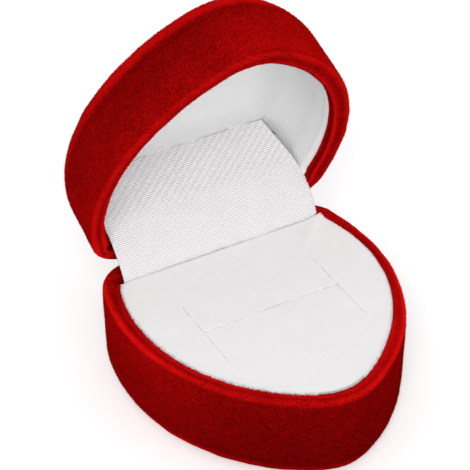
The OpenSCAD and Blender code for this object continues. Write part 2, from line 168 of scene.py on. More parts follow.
# A point drawn in the lid's own frame, flat end down, turned over and about the hinge to the open lid
def onLid(p):
    side, up = p[..., 1] - hinge["y"], lidAxis - p[..., 2]
    c, s = math.cos(hinge["angle"]), math.sin(hinge["angle"])
    return np.stack([p[..., 0], hinge["y"] + side * c + up * s, hinge["z"] - side * s + up * c], -1)


# Soft unevenness: sum of sines along seeded directions, with wavelengths near size, over the root of
# their count
def ripple(points, seed, size, count):
    shares = (0.6, 1.6)
    rng = np.random.default_rng(seed)
    total = np.zeros(points.shape[:-1])
    for _ in range(count):
        way = rng.normal(size=3)
        way *= rng.uniform(*shares) / (size * np.linalg.norm(way))
        total += np.sin(2 * math.pi * (points @ way + rng.uniform()))
    return total / math.sqrt(count)


# Unit normals of a grid that wraps round: cross product of its two directions
def gridNormals(grid):
    across = np.roll(grid, -1, 1) - np.roll(grid, 1, 1)
    return unit(np.cross(across, np.gradient(grid, axis=0)))


# An object of the scene with the given data
def newObject(name, data):
    made = bpy.data.objects.new(name, data)
    bpy.context.scene.collection.objects.link(made)
    return made


# Mesh from points and faces. A body whose signed volume, the sum of a · (b × c) / 6, is negative is
# turned round. Marks are float attributes of its points
def meshOf(name, points, quads, triangles=None, uvs=None, marks=None, material=None):
    triangles = np.zeros((0, 3), int) if triangles is None else triangles
    a, b, c, d = (points[quads[:, k]] for k in range(4))
    volume = (a * np.cross(b, c)).sum() + (a * np.cross(c, d)).sum()
    a, b, c = (points[triangles[:, k]] for k in range(3))
    volume += (a * np.cross(b, c)).sum()
    if volume < 0:
        quads, triangles = quads[:, ::-1], triangles[:, ::-1]
        uvs = None if uvs is None else uvs[:, ::-1]
    mesh = bpy.data.meshes.new(name)
    mesh.from_pydata(points.tolist(), [], quads.tolist() + triangles.tolist())
    mesh.polygons.foreach_set("use_smooth", np.ones(len(mesh.polygons), bool))
    if uvs is not None:
        layer = mesh.uv_layers.new(name="weave")
        corners = np.concatenate([uvs.reshape(-1, 2), np.zeros((len(triangles) * 3, 2))])
        layer.data.foreach_set("uv", corners.astype(np.float32).ravel())
    for key, values in (marks or {}).items():
        attribute = mesh.attributes.new(key, "FLOAT", "POINT")
        attribute.data.foreach_set("value", values.astype(np.float32).ravel())
    if material is not None:
        mesh.materials.append(material)
    mesh.update()
    return newObject(name, mesh)


# Quads between neighbouring rows and columns of a grid of points. wrap joins the last column to the
# first, loop the last row to the first, poles close the end rows with fans to their middles, and ends
# close them across, the first half of a row to its second
def skin(name, grid, material, wrap=False, loop=False, poles=False, ends=False, uv=None, marks=None):
    rows, columns = grid.shape[:2]
    index = np.arange(rows * columns).reshape(rows, columns)
    wide = wrapped(index) if wrap else index
    wide = np.concatenate([wide, wide[:1]], 0) if loop else wide
    quads = np.stack([wide[:-1, :-1], wide[:-1, 1:], wide[1:, 1:], wide[1:, :-1]], -1).reshape(-1, 4)
    uvs = None
    if uv is not None:
        corners = [uv[:-1, :-1], uv[:-1, 1:], uv[1:, 1:], uv[1:, :-1]]
        uvs = np.stack(corners, 2).reshape(-1, 4, 2)
    if ends:
        half = columns // 2
        for row, order in ((index[0], 1), (index[-1], -1)):
            near, far = row[:half], row[:half - 1:-1]
            strip = np.stack([near[1:], near[:-1], far[:-1], far[1:]], -1)[:, ::order]
            quads = np.concatenate([quads, strip])
            uvs = np.concatenate([uvs, np.zeros((half - 1, 4, 2))])
    points, triangles = grid.reshape(-1, 3), None
    marks = {} if marks is None else {k: v.reshape(-1) for k, v in marks.items()}
    if poles:
        first, last = index[0], index[-1]
        points = np.concatenate([points, [grid[0].mean(0), grid[-1].mean(0)]])
        low, high = rows * columns, rows * columns + 1
        lowFan = np.stack([np.roll(first, -1), first, np.full(columns, low)], -1)
        highFan = np.stack([last, np.roll(last, -1), np.full(columns, high)], -1)
        triangles = np.concatenate([lowFan, highFan])
        marks = {k: np.append(v, [v[0], v[-1]]) for k, v in marks.items()}
    return meshOf(name, points, quads, triangles, uvs, marks, material)


# A constant or another node's output as the input of a socket
def join(tree, source, socket):
    if isinstance(source, bpy.types.NodeSocket):
        tree.links.new(source, socket)
    else:
        socket.default_value = source


# Inputs of a node by name, with _ for a blank. Gives its outputs
def fill(tree, node, values):
    for key, value in values.items():
        join(tree, value, node.inputs[key.replace("_", " ")])
    return node.outputs


# Outputs of a new node
def newNode(tree, kind, **values):
    return fill(tree, tree.nodes.new("ShaderNode" + kind), values)


# One step of arithmetic on two or three values
def calc(tree, kind, a, b=0.0, c=None):
    node = tree.nodes.new("ShaderNodeMath")
    node.operation = kind
    join(tree, a, node.inputs[0])
    join(tree, b, node.inputs[1])
    if c is not None:
        join(tree, c, node.inputs[2])
    return node.outputs[0]


# Noise from about -0.5 to 0.5 or, where whole, from 0 to 1
def noise(tree, vector, scale, detail, rough, distortion=0.0, whole=False):
    value = newNode(tree, "TexNoise", Vector=vector, Scale=scale, Detail=detail, Roughness=rough,
                    Distortion=distortion)["Fac"]
    return value if whole else calc(tree, "SUBTRACT", value, 0.5)


# An empty group of nodes, with a vector and named numbers as inputs and named numbers as outputs
def newGroup(name, vector, numbers, outputs):
    tree = bpy.data.node_groups.new(name, "ShaderNodeTree")
    tree.interface.new_socket(vector, in_out="INPUT", socket_type="NodeSocketVector")
    for way, titles in (("INPUT", numbers), ("OUTPUT", outputs)):
        for title in titles:
            tree.interface.new_socket(title, in_out=way, socket_type="NodeSocketFloat")
    return tree, tree.nodes.new("NodeGroupInput").outputs, tree.nodes.new("NodeGroupOutput").inputs


# Pile: patches where the pile lies over, clumps within them and single fibre ends, each a noise of its
# own scale. Shade, for the colour, is 0.5 + the three times their shares. Height, for the bump, is the
# fibres + 0.6 · the clumps
def pileGroup():
    clumpHeight = 0.6
    tree, given, out = newGroup("pile", "Vector", [
        "Patch Scale", "Clump Scale", "Fibre Scale", "Patch Share", "Clump Share", "Fibre Share",
    ], ["Shade", "Height"])
    patch = noise(tree, given["Vector"], given["Patch Scale"], 3, 0.6, 0.6)
    clump = noise(tree, given["Vector"], given["Clump Scale"], 3, 0.6)
    fibre = noise(tree, given["Vector"], given["Fibre Scale"], 1, 0.5)
    shade = calc(tree, "MULTIPLY_ADD", patch, given["Patch Share"], 0.5)
    shade = calc(tree, "MULTIPLY_ADD", clump, given["Clump Share"], shade)
    join(tree, calc(tree, "MULTIPLY_ADD", fibre, given["Fibre Share"], shade), out["Shade"])
    join(tree, calc(tree, "MULTIPLY_ADD", clump, clumpHeight, fibre), out["Height"])
    return tree


# Wave from 0 to 1 along a place: half of 1 + sin(2π · along / pitch + phase)
def wave(tree, along, pitch, phase):
    turn = calc(tree, "DIVIDE", calc(tree, "MULTIPLY", along, 2 * math.pi), pitch)
    return calc(tree, "MULTIPLY_ADD", calc(tree, "SINE", calc(tree, "ADD", turn, phase)), 0.5, 0.5)


# Ribbed weave on a UV map in millimetres: ribs over v, threads over u that shift by half a turn from rib
# to rib, and bands along u · sin + v · cos of their turn. A noise times Wander shakes ribs and bands
def weaveGroup():
    look = {"wanderScale": 0.45, "ribShake": 6.0, "bandShake": 3.0}
    tree, given, out = newGroup("weave", "UV", [
        "Rib Pitch", "Thread Pitch", "Band Pitch", "Band Turn", "Wander",
    ], ["Rib", "Thread", "Band"])
    u, v = newNode(tree, "SeparateXYZ", Vector=given["UV"])[:2]
    shake = calc(tree, "MULTIPLY", noise(tree, given["UV"], look["wanderScale"], 3, 0.6), given["Wander"])
    row = calc(tree, "MULTIPLY", calc(tree, "FLOOR", calc(tree, "DIVIDE", v, given["Rib Pitch"])), math.pi)
    slant = calc(tree, "ADD", calc(tree, "MULTIPLY", u, calc(tree, "SINE", given["Band Turn"])),
                 calc(tree, "MULTIPLY", v, calc(tree, "COSINE", given["Band Turn"])))
    for part, along, phase in (
        ("Rib", v, calc(tree, "MULTIPLY", shake, look["ribShake"])),
        ("Thread", u, row),
        ("Band", slant, calc(tree, "MULTIPLY", shake, look["bandShake"])),
    ):
        join(tree, wave(tree, along, given[part + " Pitch"], phase), out[part])
    return tree


# Fine grain of a hard surface: a noise at the grain's scale and a broad one for stains
def grainGroup():
    tree, given, out = newGroup("grain", "Vector", ["Grain Scale", "Stain Scale"], ["Grain", "Stain"])
    join(tree, noise(tree, given["Vector"], given["Grain Scale"], 3, 0.6, whole=True), out["Grain"])
    join(tree, noise(tree, given["Vector"], given["Stain Scale"], 4, 0.55, whole=True), out["Stain"])
    return tree


groups = {"pile": pileGroup(), "weave": weaveGroup(), "grain": grainGroup()}


# A material with one Principled shader and its constants
def newMaterial(name, **constants):
    material = bpy.data.materials.new(name)
    material.use_nodes = True
    tree = material.node_tree
    shader = tree.nodes["Principled BSDF"]
    fill(tree, shader, constants)
    return material, tree, shader


# Outputs of a group of nodes placed in a material
def place(tree, kind, **values):
    node = tree.nodes.new("ShaderNodeGroup")
    node.node_tree = groups[kind]
    return fill(tree, node, values)


# Place of a point in its own object
def objectPlace(tree):
    return newNode(tree, "TexCoord")["Object"]


# What a mark of the mesh says at a point
def marked(tree, name):
    node = tree.nodes.new("ShaderNodeAttribute")
    node.attribute_name = name
    return node.outputs["Fac"]


# Colour ramp through the given colours at the given places, into a socket
def ramp(tree, value, stops, socket):
    node = tree.nodes.new("ShaderNodeValToRGB")
    elements = node.color_ramp.elements
    while len(elements) < len(stops):
        elements.new(0.5)
    for element, (at, colour) in zip(elements, stops):
        element.position = at
        element.color = (*colour, 1)
    join(tree, value, node.inputs["Fac"])
    tree.links.new(node.outputs["Color"], socket)


# Bump of a shader: height times distance
def bump(tree, shader, height, distance, strength=1.0):
    made = newNode(tree, "Bump", Strength=strength, Distance=distance, Height=height)
    join(tree, made["Normal"], shader.inputs["Normal"])


# Red velvet: pile from deep to bright red, shifted by an attribute of painted light and shade: painted
# sheen on crests and edges, painted shade on sides turned from the lamps, towards the floor and in gaps
def velvetMaterial():
    look = {
        "stops": [(0.073, (0.045, 0.0003, 0.0003)), (0.358, (0.20, 0.0012, 0.0012)),
                  (0.6955, (0.62, 0.004, 0.004)), (0.983, (0.95, 0.008, 0.008))],
        "paintedLight": 0.4,
        "span": 0.75,
        "bump": 0.14 * mm,
    }
    material, tree, shader = newMaterial(
        "redVelvet", Roughness=0.95, Specular_IOR_Level=0.0, Sheen_Weight=0.22, Sheen_Roughness=0.3,
        Sheen_Tint=(1.0, 0.004, 0.002, 1))
    pile = place(tree, "pile", Vector=objectPlace(tree), Patch_Scale=150.0, Clump_Scale=900.0,
                 Fibre_Scale=3600.0, Patch_Share=0.2, Clump_Share=0.25, Fibre_Share=0.6)
    # Painted light and shade from the mesh's attribute move the pile's shade up or down the ramp
    shade = calc(tree, "MULTIPLY_ADD", marked(tree, "paintedLight"), look["paintedLight"], pile["Shade"])
    ramp(tree, calc(tree, "MULTIPLY", shade, look["span"]), look["stops"], shader.inputs["Base Color"])
    bump(tree, shader, pile["Height"], look["bump"])
    return material


# White flock: nearly even white with a faint nap
def flockMaterial():
    look = {
        "stops": [(0.2, (0.84, 0.835, 0.835)), (0.8, (0.90, 0.895, 0.895))],
        "scale": 5200.0,
        "clump": 3,
        "patch": 14,
        "bump": 0.03 * mm,
    }
    material, tree, shader = newMaterial(
        "whiteFlock", Roughness=0.95, Specular_IOR_Level=0.12, Sheen_Weight=0.12, Sheen_Roughness=0.5)
    pile = place(tree, "pile", Vector=objectPlace(tree), Patch_Scale=look["scale"] / look["patch"],
                 Clump_Scale=look["scale"] / look["clump"], Fibre_Scale=look["scale"],
                 Patch_Share=0.5, Clump_Share=0.5, Fibre_Share=0.6)
    ramp(tree, pile["Shade"], look["stops"], shader.inputs["Base Color"])
    bump(tree, shader, pile["Height"], look["bump"])
    return material


# Ribbed satin: the weave is darker between its ribs, as the cloth's own tone and as painted shade in their
# grooves, and where threads cross them; slanting bands darken it where the mark band is 1, the mark plain
# takes the ribs away, as on a hem, and the mark gap gives it a near-black red painted shadow in the gaps
# beside the hinge cover
def satinMaterial(name, stops, shares, weaveLook):
    look = {
        "wander": 0.8,
        "stain": 0.15,
        "hem": 0.2,
        # Near-black red of the painted shadow in the gaps beside the hinge cover
        "gap": (0.02, 0.0005, 0.001, 1),
        "threadHeight": -0.3,
        "bump": 0.05 * mm,
        "bumpShare": 0.8,
        "rough": (0.45, 0.2),
    }
    material, tree, shader = newMaterial(
        name, Specular_IOR_Level=0.25, Sheen_Weight=0.15, Sheen_Roughness=0.4)
    uv = tree.nodes.new("ShaderNodeUVMap")
    uv.uv_map = "weave"
    weave = place(tree, "weave", UV=uv.outputs["UV"], Wander=look["wander"], **weaveLook)
    grain = place(tree, "grain", Vector=objectPlace(tree), Grain_Scale=2600.0, Stain_Scale=260.0)
    plain = marked(tree, "plain")
    ribbed = calc(tree, "SUBTRACT", 1.0, plain)
    thread = calc(tree, "MULTIPLY", weave["Thread"], shares["thread"])
    between = calc(tree, "MULTIPLY", calc(tree, "SUBTRACT", 1.0, weave["Rib"]), shares["rib"])
    woven = calc(tree, "MULTIPLY", calc(tree, "ADD", between, thread), ribbed)
    bands = calc(tree, "MULTIPLY", weave["Band"], marked(tree, "band"))
    shade = calc(tree, "MULTIPLY_ADD", bands, shares["band"], woven)
    shade = calc(tree, "MULTIPLY_ADD", grain["Stain"], look["stain"], shade)
    shade = calc(tree, "MULTIPLY_ADD", plain, look["hem"], shade)
    # Where the mark gap says, the painted shadow's near-black red takes over the colour
    colour = tree.nodes.new("ShaderNodeMix")
    colour.data_type = "RGBA"
    tree.links.new(marked(tree, "gap"), colour.inputs["Factor"])
    ramp(tree, shade, stops, colour.inputs["A"])
    colour.inputs["B"].default_value = look["gap"]
    tree.links.new(colour.outputs["Result"], shader.inputs["Base Color"])
    height = calc(tree, "MULTIPLY_ADD", weave["Thread"], look["threadHeight"], weave["Rib"])
    bump(tree, shader, calc(tree, "MULTIPLY", height, ribbed), look["bump"], look["bumpShare"])
    least, span = look["rough"]
    join(tree, calc(tree, "MULTIPLY_ADD", grain["Grain"], span, least), shader.inputs["Roughness"])
    return material


# Plastic, card, foam or metal: two tones by the stain, roughness and bump by the grain
def hardMaterial(name, light, dark, rough, metal=0.0, grainScale=4000.0, depth=0.01 * mm):
    span = 0.3
    material, tree, shader = newMaterial(name, Metallic=metal)
    grain = place(tree, "grain", Vector=objectPlace(tree), Grain_Scale=grainScale, Stain_Scale=350.0)
    ramp(tree, grain["Stain"], [(0.35, dark), (0.65, light)], shader.inputs["Base Color"])
    roughness = calc(tree, "MULTIPLY_ADD", grain["Grain"], span, rough - span / 2)
    join(tree, roughness, shader.inputs["Roughness"])
    bump(tree, shader, grain["Grain"], depth)
    return material


velvet = velvetMaterial()
flock = flockMaterial()
satin = satinMaterial(
    "ribbedSatin", [(0.1, (0.90, 0.89, 0.895)), (1.0, (0.50, 0.49, 0.495))],
    {"band": 0.22, "rib": 0.75, "thread": 0.12},
    {"Rib_Pitch": 0.40, "Thread_Pitch": 0.5, "Band_Pitch": 1.25, "Band_Turn": -0.66})
liningSatin = satinMaterial(
    "liningSatin", [(0.1, (0.87, 0.875, 0.88)), (1.0, (0.50, 0.51, 0.515))],
    {"band": 0.15, "rib": 0.3, "thread": 0.5},
    {"Rib_Pitch": 0.30, "Thread_Pitch": 0.55, "Band_Pitch": 0.9, "Band_Turn": 0.8})
plastic = hardMaterial("mouldedPlastic", (0.76, 0.73, 0.67), (0.70, 0.67, 0.61), 0.55)
card = hardMaterial("greyCard", (0.66, 0.62, 0.54), (0.55, 0.51, 0.44), 0.85, 0.0, 2500.0, 0.03 * mm)
foam = hardMaterial("openFoam", (0.86, 0.86, 0.84), (0.70, 0.70, 0.68), 0.9, 0.0, 2200.0, 0.2 * mm)
steel = hardMaterial("nickelSteel", (0.70, 0.69, 0.67), (0.58, 0.57, 0.56), 0.32, 1.0, 6000.0)
springSteel = hardMaterial("bluedSpring", (0.34, 0.36, 0.40), (0.24, 0.26, 0.30), 0.35, 1.0, 6000.0)
brass = hardMaterial("rivetBrass", (0.78, 0.60, 0.30), (0.66, 0.48, 0.22), 0.35, 1.0, 6000.0)
print("materials made")


# Push of points by waves, each a height, a size, a seed and a number of sines
def rippled(points, waves):
    return sum(height * ripple(points, seed, size, count) for height, size, seed, count in waves)


# Velvet skin of a half. Its rows run from the middle of the flat end out, up the wall, over the soft
# crest, down the slope of the rim with its groove and down inside, then back along the shell
velvetCover = {
    "counts": {"edge": 12, "wall": 26, "crest": 9, "slope": 15, "lip": 7, "inside": 6},
    "crest": 1.0 * mm,
    "slope": 0.7 * mm,
    "slopeAt": (0, 0.45, 0.8, 1),
    "slopeDrops": (0, 0.42, 0.62, 1),
    "grooveAt": 0.35,
    "grooveWidth": 0.16,
    # Painted light and shade: a painted sheen over the rounded edge of the flat end, painted shade where
    # that edge meets the wall, places across the rim for its table, and a painted highlight that fades down
    # from the top of the wall
    "edgeFrom": (0.12, 0.3),
    "footPaintedShade": (0.1, 0.2),
    "paintedLightAt": (-1, -0.3, 0, 0.3, 0.6, 0.85, 1),
    "wallTopPaintedLight": 0.22,
    "wallReach": 4.0 * mm,
    "steps": (30, 60, 60, 36),
    "poleShares": (0.08, 0.3, 0.55, 0.8),
    "underside": 0.5 * mm,
    "pileRoom": 0.15 * mm,
    "waves": ((0.05 * mm, 9 * mm, 11, 9), (0.022 * mm, 1.3 * mm, 12, 16)),
    "deepest": -0.03 * mm,
    "corner": {"push": 0.15 * mm, "x": 7 * mm, "y": 12 * mm, "wide": 3 * mm, "z": 6 * mm, "fade": 4 * mm},
    "drawBack": 1.5 * mm,
    "drawFade": 2 * mm,
    "shoulderFrom": (19 * mm, 5 * mm),
    "shoulderDeep": (3 * mm, 2 * mm),
    "wornShare": 0.75,
    "wornDeep": (1.4 * mm, 0.8 * mm),
    "notchBack": 1.5 * mm,
    "notchFront": 0.2 * mm,
}


# Place of an inset across the rim, 0 at the crest and 1 at the inner edge
def acrossRim(inset):
    crest = velvetCover["crest"]
    return np.clip((inset - crest) / (heart["rim"] - crest), 0, 1)


# Rows of a half's profile as inset, height and painted light: those that show, then those behind the cloth.
# Edge and crest are quarter circles, and the groove is a bell curve. The edge has a painted sheen and,
# where it meets the wall, painted shade; the wall has a painted highlight that fades down from its top
def velvetRows(half):
    s, counts = velvetCover, velvetCover["counts"]
    tall, edge, lip = half["tall"], half["edge"], half["lip"]
    turn = quarter(counts["edge"])
    edgeTurn = math.pi / 2 - turn
    dark, width = s["footPaintedShade"]
    edgePaintedLight = half["edgePaintedLight"] * ease(edgeTurn, *s["edgeFrom"]) - dark * np.exp(-(edgeTurn / width) ** 2)
    rows = [np.stack([edge * (1 - np.sin(turn)), edge * (1 - np.cos(turn)), edgePaintedLight], 1)]
    z = np.linspace(edge, tall - s["crest"], counts["wall"])[1:]
    rows.append(np.stack([0 * z, z, s["wallTopPaintedLight"] * np.exp((z - tall) / s["wallReach"])], 1))
    turn = quarter(counts["crest"])[1:]
    paintedLight = s["wallTopPaintedLight"] * (1 - np.sin(turn) ** 3)
    rows.append(np.stack([s["crest"] * (1 - np.cos(turn)), tall - s["crest"] * (1 - np.sin(turn)), paintedLight], 1))
    across = np.linspace(0, 1, counts["slope"])[1:]
    drop = s["slope"] * np.interp(across, s["slopeAt"], s["slopeDrops"])
    drop += half["groove"] * np.exp(-((across - s["grooveAt"]) / s["grooveWidth"]) ** 2)
    rows.append(np.stack([mix(s["crest"], heart["rim"], across), tall - drop, 0 * across], 1))
    z = np.linspace(tall - s["slope"], tall - lip, counts["lip"])[1:]
    rows.append(np.stack([np.full(len(z), heart["rim"]), z, 0 * z], 1))
    behind = [(inset, z, 0) for inset, z in (
        (heart["wall"], tall - lip),
        (heart["wall"], tall - heart["velvet"] - s["slope"] / 2),
        (s["crest"], tall - heart["velvet"]),
        (heart["velvet"], tall - 2 * s["crest"]),
        (heart["velvet"], tall / 2),
    )]
    turn = quarter(counts["inside"])[::-1]
    inset, z = mix(heart["velvet"], edge, 1 - np.sin(turn)), mix(heart["velvet"], edge, 1 - np.cos(turn))
    return np.concatenate(rows), np.concatenate([behind, np.stack([inset, z, 0 * z], 1)])


# Outward way of a ring's points and its turn from the tip's, in degrees, growing towards the right
def outward(grid):
    along = np.roll(grid, -1, 1) - np.roll(grid, 1, 1)
    out = unit(np.stack([along[..., 1], -along[..., 0]], -1))
    return out, np.degrees(np.arctan2(out[..., 0], -out[..., 1]))


# Painted light and shade of the rim: painted highlights on the crest and slope, painted shade where the rim
# turns from the lamps, and near-black painted shadow in the gap by the hinge cover. It comes from a table
# over the turn from the tip and the place across, from -1 at the top of the wall over 0 on the crest to 1
# at the inner edge. It is 0 on the wall
def rimPaintedLight(grid, inset, z, half):
    s = velvetCover
    table = np.pad(np.array(half["paintedLights"]), ((0, 0), (1, 0)))
    columns = np.arange(len(s["paintedLightAt"]))
    over = np.clip((z - half["tall"]) / s["crest"], -1, 0)
    place = np.interp(np.where(inset < s["crest"], over, acrossRim(inset)), s["paintedLightAt"], columns)
    low = np.minimum(place.astype(int), columns[-2])
    turn = outward(grid)[1]
    around = np.stack([np.interp(turn, half["turns"], table[:, k]) for k in columns], -1)
    rows = np.arange(len(inset))
    paintedLight = mix(around[rows, :, low], around[rows, :, low + 1], (place - low)[:, None])
    return paintedLight * (z > half["tall"] - s["slope"] - s["crest"])[:, None]


# Painted light and shade of the wall, by the way it faces and by its height: each entry of the half's list
# adds share · ease(cosine between the outward way and its own) · ease(way down from its height). No way
# and a start of -1 stand for all round
def wallPaintedLight(grid, z, half):
    out = outward(grid)[0]
    paintedLight = np.zeros(grid.shape[:2])
    for share, way, start, reach, height, fade in half["paintedLightByFacing"]:
        paintedLight += share * ease(out @ np.array(way), start, reach) * ease(z, height, -fade)[:, None]
    return paintedLight * (z < half["tall"] - velvetCover["crest"])[:, None]


# Push of the skin: its waves, and a bell curve that covers the shell's corners beside the cleft
def velvetPush(grid):
    s, c = velvetCover, velvetCover["corner"]
    x, y, z = grid[..., 0], grid[..., 1], grid[..., 2]
    corner = np.exp(-((np.abs(x) - c["x"]) / c["wide"]) ** 2) * ease(y, c["y"], c["wide"])
    corner *= 1 - ease(z, c["z"], c["fade"])
    return np.maximum(rippled(grid, s["waves"]), s["deepest"]) + c["push"] * corner


# Velvet skin: the rows above as rings of the heart, pushed along their normals. The rim's inner edge is
# drawn in by draws over the turn, its shoulders rise towards the hinge, and behind the web it stays out
# of the hinge's notch. Gives the piece, its shown grid and that grid's painted light and shade and length
# of pile
def velvetSkin(name, half, place):
    s = velvetCover
    tall, edge, lip, notchZ = half["tall"], half["edge"], half["lip"], half["notchZ"]
    outer, behind = velvetRows(half)
    inset, z, paintedLight = np.concatenate([outer, behind]).T
    shown = np.arange(len(z)) < len(outer)
    across = acrossRim(inset)
    lipped = shown & (inset >= heart["rim"] - tiny)
    rimBack = np.where(inset > s["crest"], webY - heart["velvet"] * across, beyond)
    back = np.where((z > tall - s["slope"] - tiny) | lipped, rimBack, beyond)
    back[len(outer):len(outer) + 2] = webY
    onWall = shown & (z > s["underside"])
    room = np.where(onWall & (inset < s["crest"] + tiny), s["pileRoom"], 0)
    grid = wallGrid(inset + room, z, tall, s["steps"], back)
    paintedLight = paintedLight[:, None] + rimPaintedLight(wallGrid(inset, z, tall, s["steps"]), inset, z, half) * shown[:, None]
    way, turn = outward(grid)
    grid += gridNormals(grid) * (velvetPush(grid) * onWall[:, None])[..., None]
    draw = np.interp(turn, half["turns"], half["draws"])
    draw *= ease(grid[..., 1], webY - s["drawBack"], -s["drawFade"]) * (across * shown)[:, None]
    grid[..., :2] -= way * draw[..., None]
    rise = ease(grid[..., 1], *s["shoulderFrom"])
    deep, fade = s["shoulderDeep"]
    grid[..., 2] += half["shoulder"] * rise * (ease(z, tall - deep, fade) * shown)[:, None]
    # The pile is worn short where the halves nearly touch
    deep, fade = s["wornDeep"]
    worn = 1 - s["wornShare"] * rise * ease(z, tall - deep, fade)[:, None]
    x, y, height = grid[..., 0], grid[..., 1], grid[..., 2]
    inNotch = (np.abs(x) < heart["notchHalf"]) & (y > webY - s["notchBack"])
    grid[..., 2] = np.where(inNotch & (height > notchZ), notchZ, height)
    lipHere = inNotch & (lipped | ~shown)[:, None] & (height > tall - lip - tiny)
    grid[..., 1] = np.where(lipHere, np.maximum(y, webY + s["notchFront"]), y)
    paintedLight = paintedLight + wallPaintedLight(grid, z, half)
    low = wallGrid([edge], [0.0], tall, s["steps"])[0]
    outerPole = np.stack([low * [k, k, 1] for k in s["poleShares"]])
    innerPole = outerPole[::-1] + [0, 0, heart["velvet"]]
    grid = place(np.concatenate([outerPole, grid, innerPole]))
    zero = np.zeros(outerPole.shape[:2])
    look = np.stack([np.concatenate([zero, paintedLight, zero]), np.concatenate([zero + 1, worn, zero + 1])], -1)
    piece = skin(name, grid, velvet, wrap=True, poles=True, marks={"paintedLight": look[..., 0]})
    return piece, grid[:len(zero) + len(outer)], look


# The base is drawn where it stands
def asDrawn(points):
    return points


# The lid's left side is a little slimmer: x shrinks by slim, growing over the given reach
def onSlimLid(points):
    slim, reach = 0.0175, 20 * mm
    slimmed = points.copy()
    slimmed[..., 0] *= 1 - slim * ease(points[..., 0], 0, -reach)
    return onLid(slimmed)


# Values of each half. The table of the rim's painted light and shade has a row for each of turns, and draws
# is how far the inner edge is drawn in there. The base's wall has painted shade on its front and right
# and towards the floor. The lid's has painted light on its right and painted shade towards its flat end
baseHalf = {
    "tall": baseHeight, "edge": 4.5 * mm, "lip": 5 * mm, "notchZ": 19.65 * mm, "groove": 0.03 * mm,
    "turns": (-168, -150, -115, -90, -65, -45, -25, 0, 45, 70, 85, 105, 150),
    "paintedLights": (
        (0.2, -0.3, -0.8, -1.0, -1.2, -1.2), (0.7, 0.2, -0.1, -0.3, -0.4, -0.4), (0.9, 0.5, 0.1, 0, 0, 0),
        (1.2, 0.9, 0.1, 0.5, 0.8, 0.7), (0.6, 0.35, 0.5, 0.9, 1.2, 1.3), (0.15, 0.3, 0.6, 0.85, 0.95, 0.95),
        (0.1, 0.3, 0.7, 0.9, 1.05, 1.1), (0.5, 0.45, 0.6, 0.85, 1.1, 1.1), (1.0, 0.7, 0.6, 0.8, 1.1, 1.0),
        (2.0, 0.9, 0.55, 0.75, 0.9, 0.9), (1.8, 0.8, 0.2, 0.4, 0.6, 0.4), (1.0, 0.5, 0.3, 0.4, 0.4, 0.3),
        (0.5, 0.4, 0.3, 0.3, 0.3, 0.3),
    ),
    "draws": np.array((0.5, 0.5, 0.6, 0.3, 0.05, 0, 0, 0, 0, 0, 0, 0, 0)) * mm,
    "shoulder": 0.45 * mm,
    "edgePaintedLight": 0.5,
    "paintedLightByFacing": ((-0.4, (0.6, -0.8), -0.35, 0.6, beyond, mm), (-0.12, (0, 0), -1, 1, 17 * mm, 15 * mm)),
}
lidHalf = {
    "tall": lidHeight, "edge": 6.3 * mm, "lip": 2.2 * mm, "notchZ": 16.45 * mm, "groove": 0.15 * mm,
    "turns": (-165, -140, -108, -95, -60, -30, 0, 30, 80, 120),
    "paintedLights": (
        (0.2, -0.4, -0.9, -0.8, -1.6, -2.2), (0.8, 0.7, -0.1, 0.9, -0.6, -1.8),
        (0.9, 0.9, 0.1, 1.2, -0.1, -1.5), (0.5, 0.3, 0.0, 0.3, 1.0, 0.4), (0.3, 0.3, 0.25, 0.3, 0.6, 0.5),
        (0.2, 0.2, 0.2, 0.2, 0.35, 0.2), (0.3, 0.3, 0.2, 0.2, 0.5, 0.1), (0.3, 0.2, -0.05, 0.05, 0.5, -1.2),
        (1.0, 0.6, -0.1, 0.2, 0.8, -0.5), (0.5, 0.4, -0.1, 0.2, 0.8, -0.2),
    ),
    "draws": np.array((1.5, 1.5, 0.95, 0.05, 0, 0.5, 0.7, 0.7, 1.15, 0.7)) * mm,
    "shoulder": 0.12 * mm,
    "edgePaintedLight": 0.9,
    "paintedLightByFacing": (
        (0.35, (0.95, -0.3), -0.2, 0.9, beyond, mm), (-0.7, (-0.8, 0.6), 0.2, 0.6, 5 * mm, 3 * mm),
        (-0.15, (-0.3, -0.95), 0.3, 0.6, 15 * mm, 9 * mm),
    ),
}
baseVelvet, baseGrid, baseLook = velvetSkin("baseVelvet", baseHalf, asDrawn)
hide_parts("base_velvet")
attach(baseVelvet, "base")
lidVelvet, lidGrid, lidLook = velvetSkin("lidVelvet", lidHalf, onSlimLid)
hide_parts("lid_velvet")
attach(lidVelvet, "lid")
print("velvet covered")


# Fibres: each a three-sided spike on its root, base corners at root + width (cos, sin) round its
# direction and its tip at root + direction · length, and painted light at its foot and its tip
def fibres(name, roots, ways, lengths, width, material, paintedLights):
    count = len(roots)
    # Any way that no fibre takes
    aside = [0.31, 0.17, 0.93]
    ways = unit(ways)
    side = unit(np.cross(ways, aside))
    other = np.cross(ways, side)
    turns = np.arange(3) * 2 * math.pi / 3
    ring = side[:, None] * np.cos(turns)[:, None] + other[:, None] * np.sin(turns)[:, None]
    corners = roots[:, None] + width * ring
    tips = roots + ways * lengths[:, None]
    points = np.concatenate([corners, tips[:, None]], 1).reshape(-1, 3)
    start = 4 * np.arange(count)[:, None]
    faces = np.array([[0, 1, 3], [1, 2, 3], [2, 0, 3], [2, 1, 0]])
    triangles = (start[:, :, None] + faces[None]).reshape(-1, 3)
    low, high = (np.broadcast_to(paintedLight, count) for paintedLight in paintedLights)
    marks = {"paintedLight": np.stack([low, low, low, high], 1)}
    return meshOf(name, points, np.zeros((0, 4), int), triangles, None, marks, material)


# How far the spikes of the pile lean and stand up, their length, width and depth in the skin, the row of
# the base's grid where they start and a point inside each half
pile = {
    "lean": 0.45,
    "upright": 0.3,
    "length": (0.14 * mm, 0.34 * mm),
    "width": 0.05 * mm,
    "sink": 0.04 * mm,
    "baseFirstRow": 11,
    "baseMiddle": (0, 0, 10 * mm),
    "lidMiddle": (0, 0, 9 * mm),
}
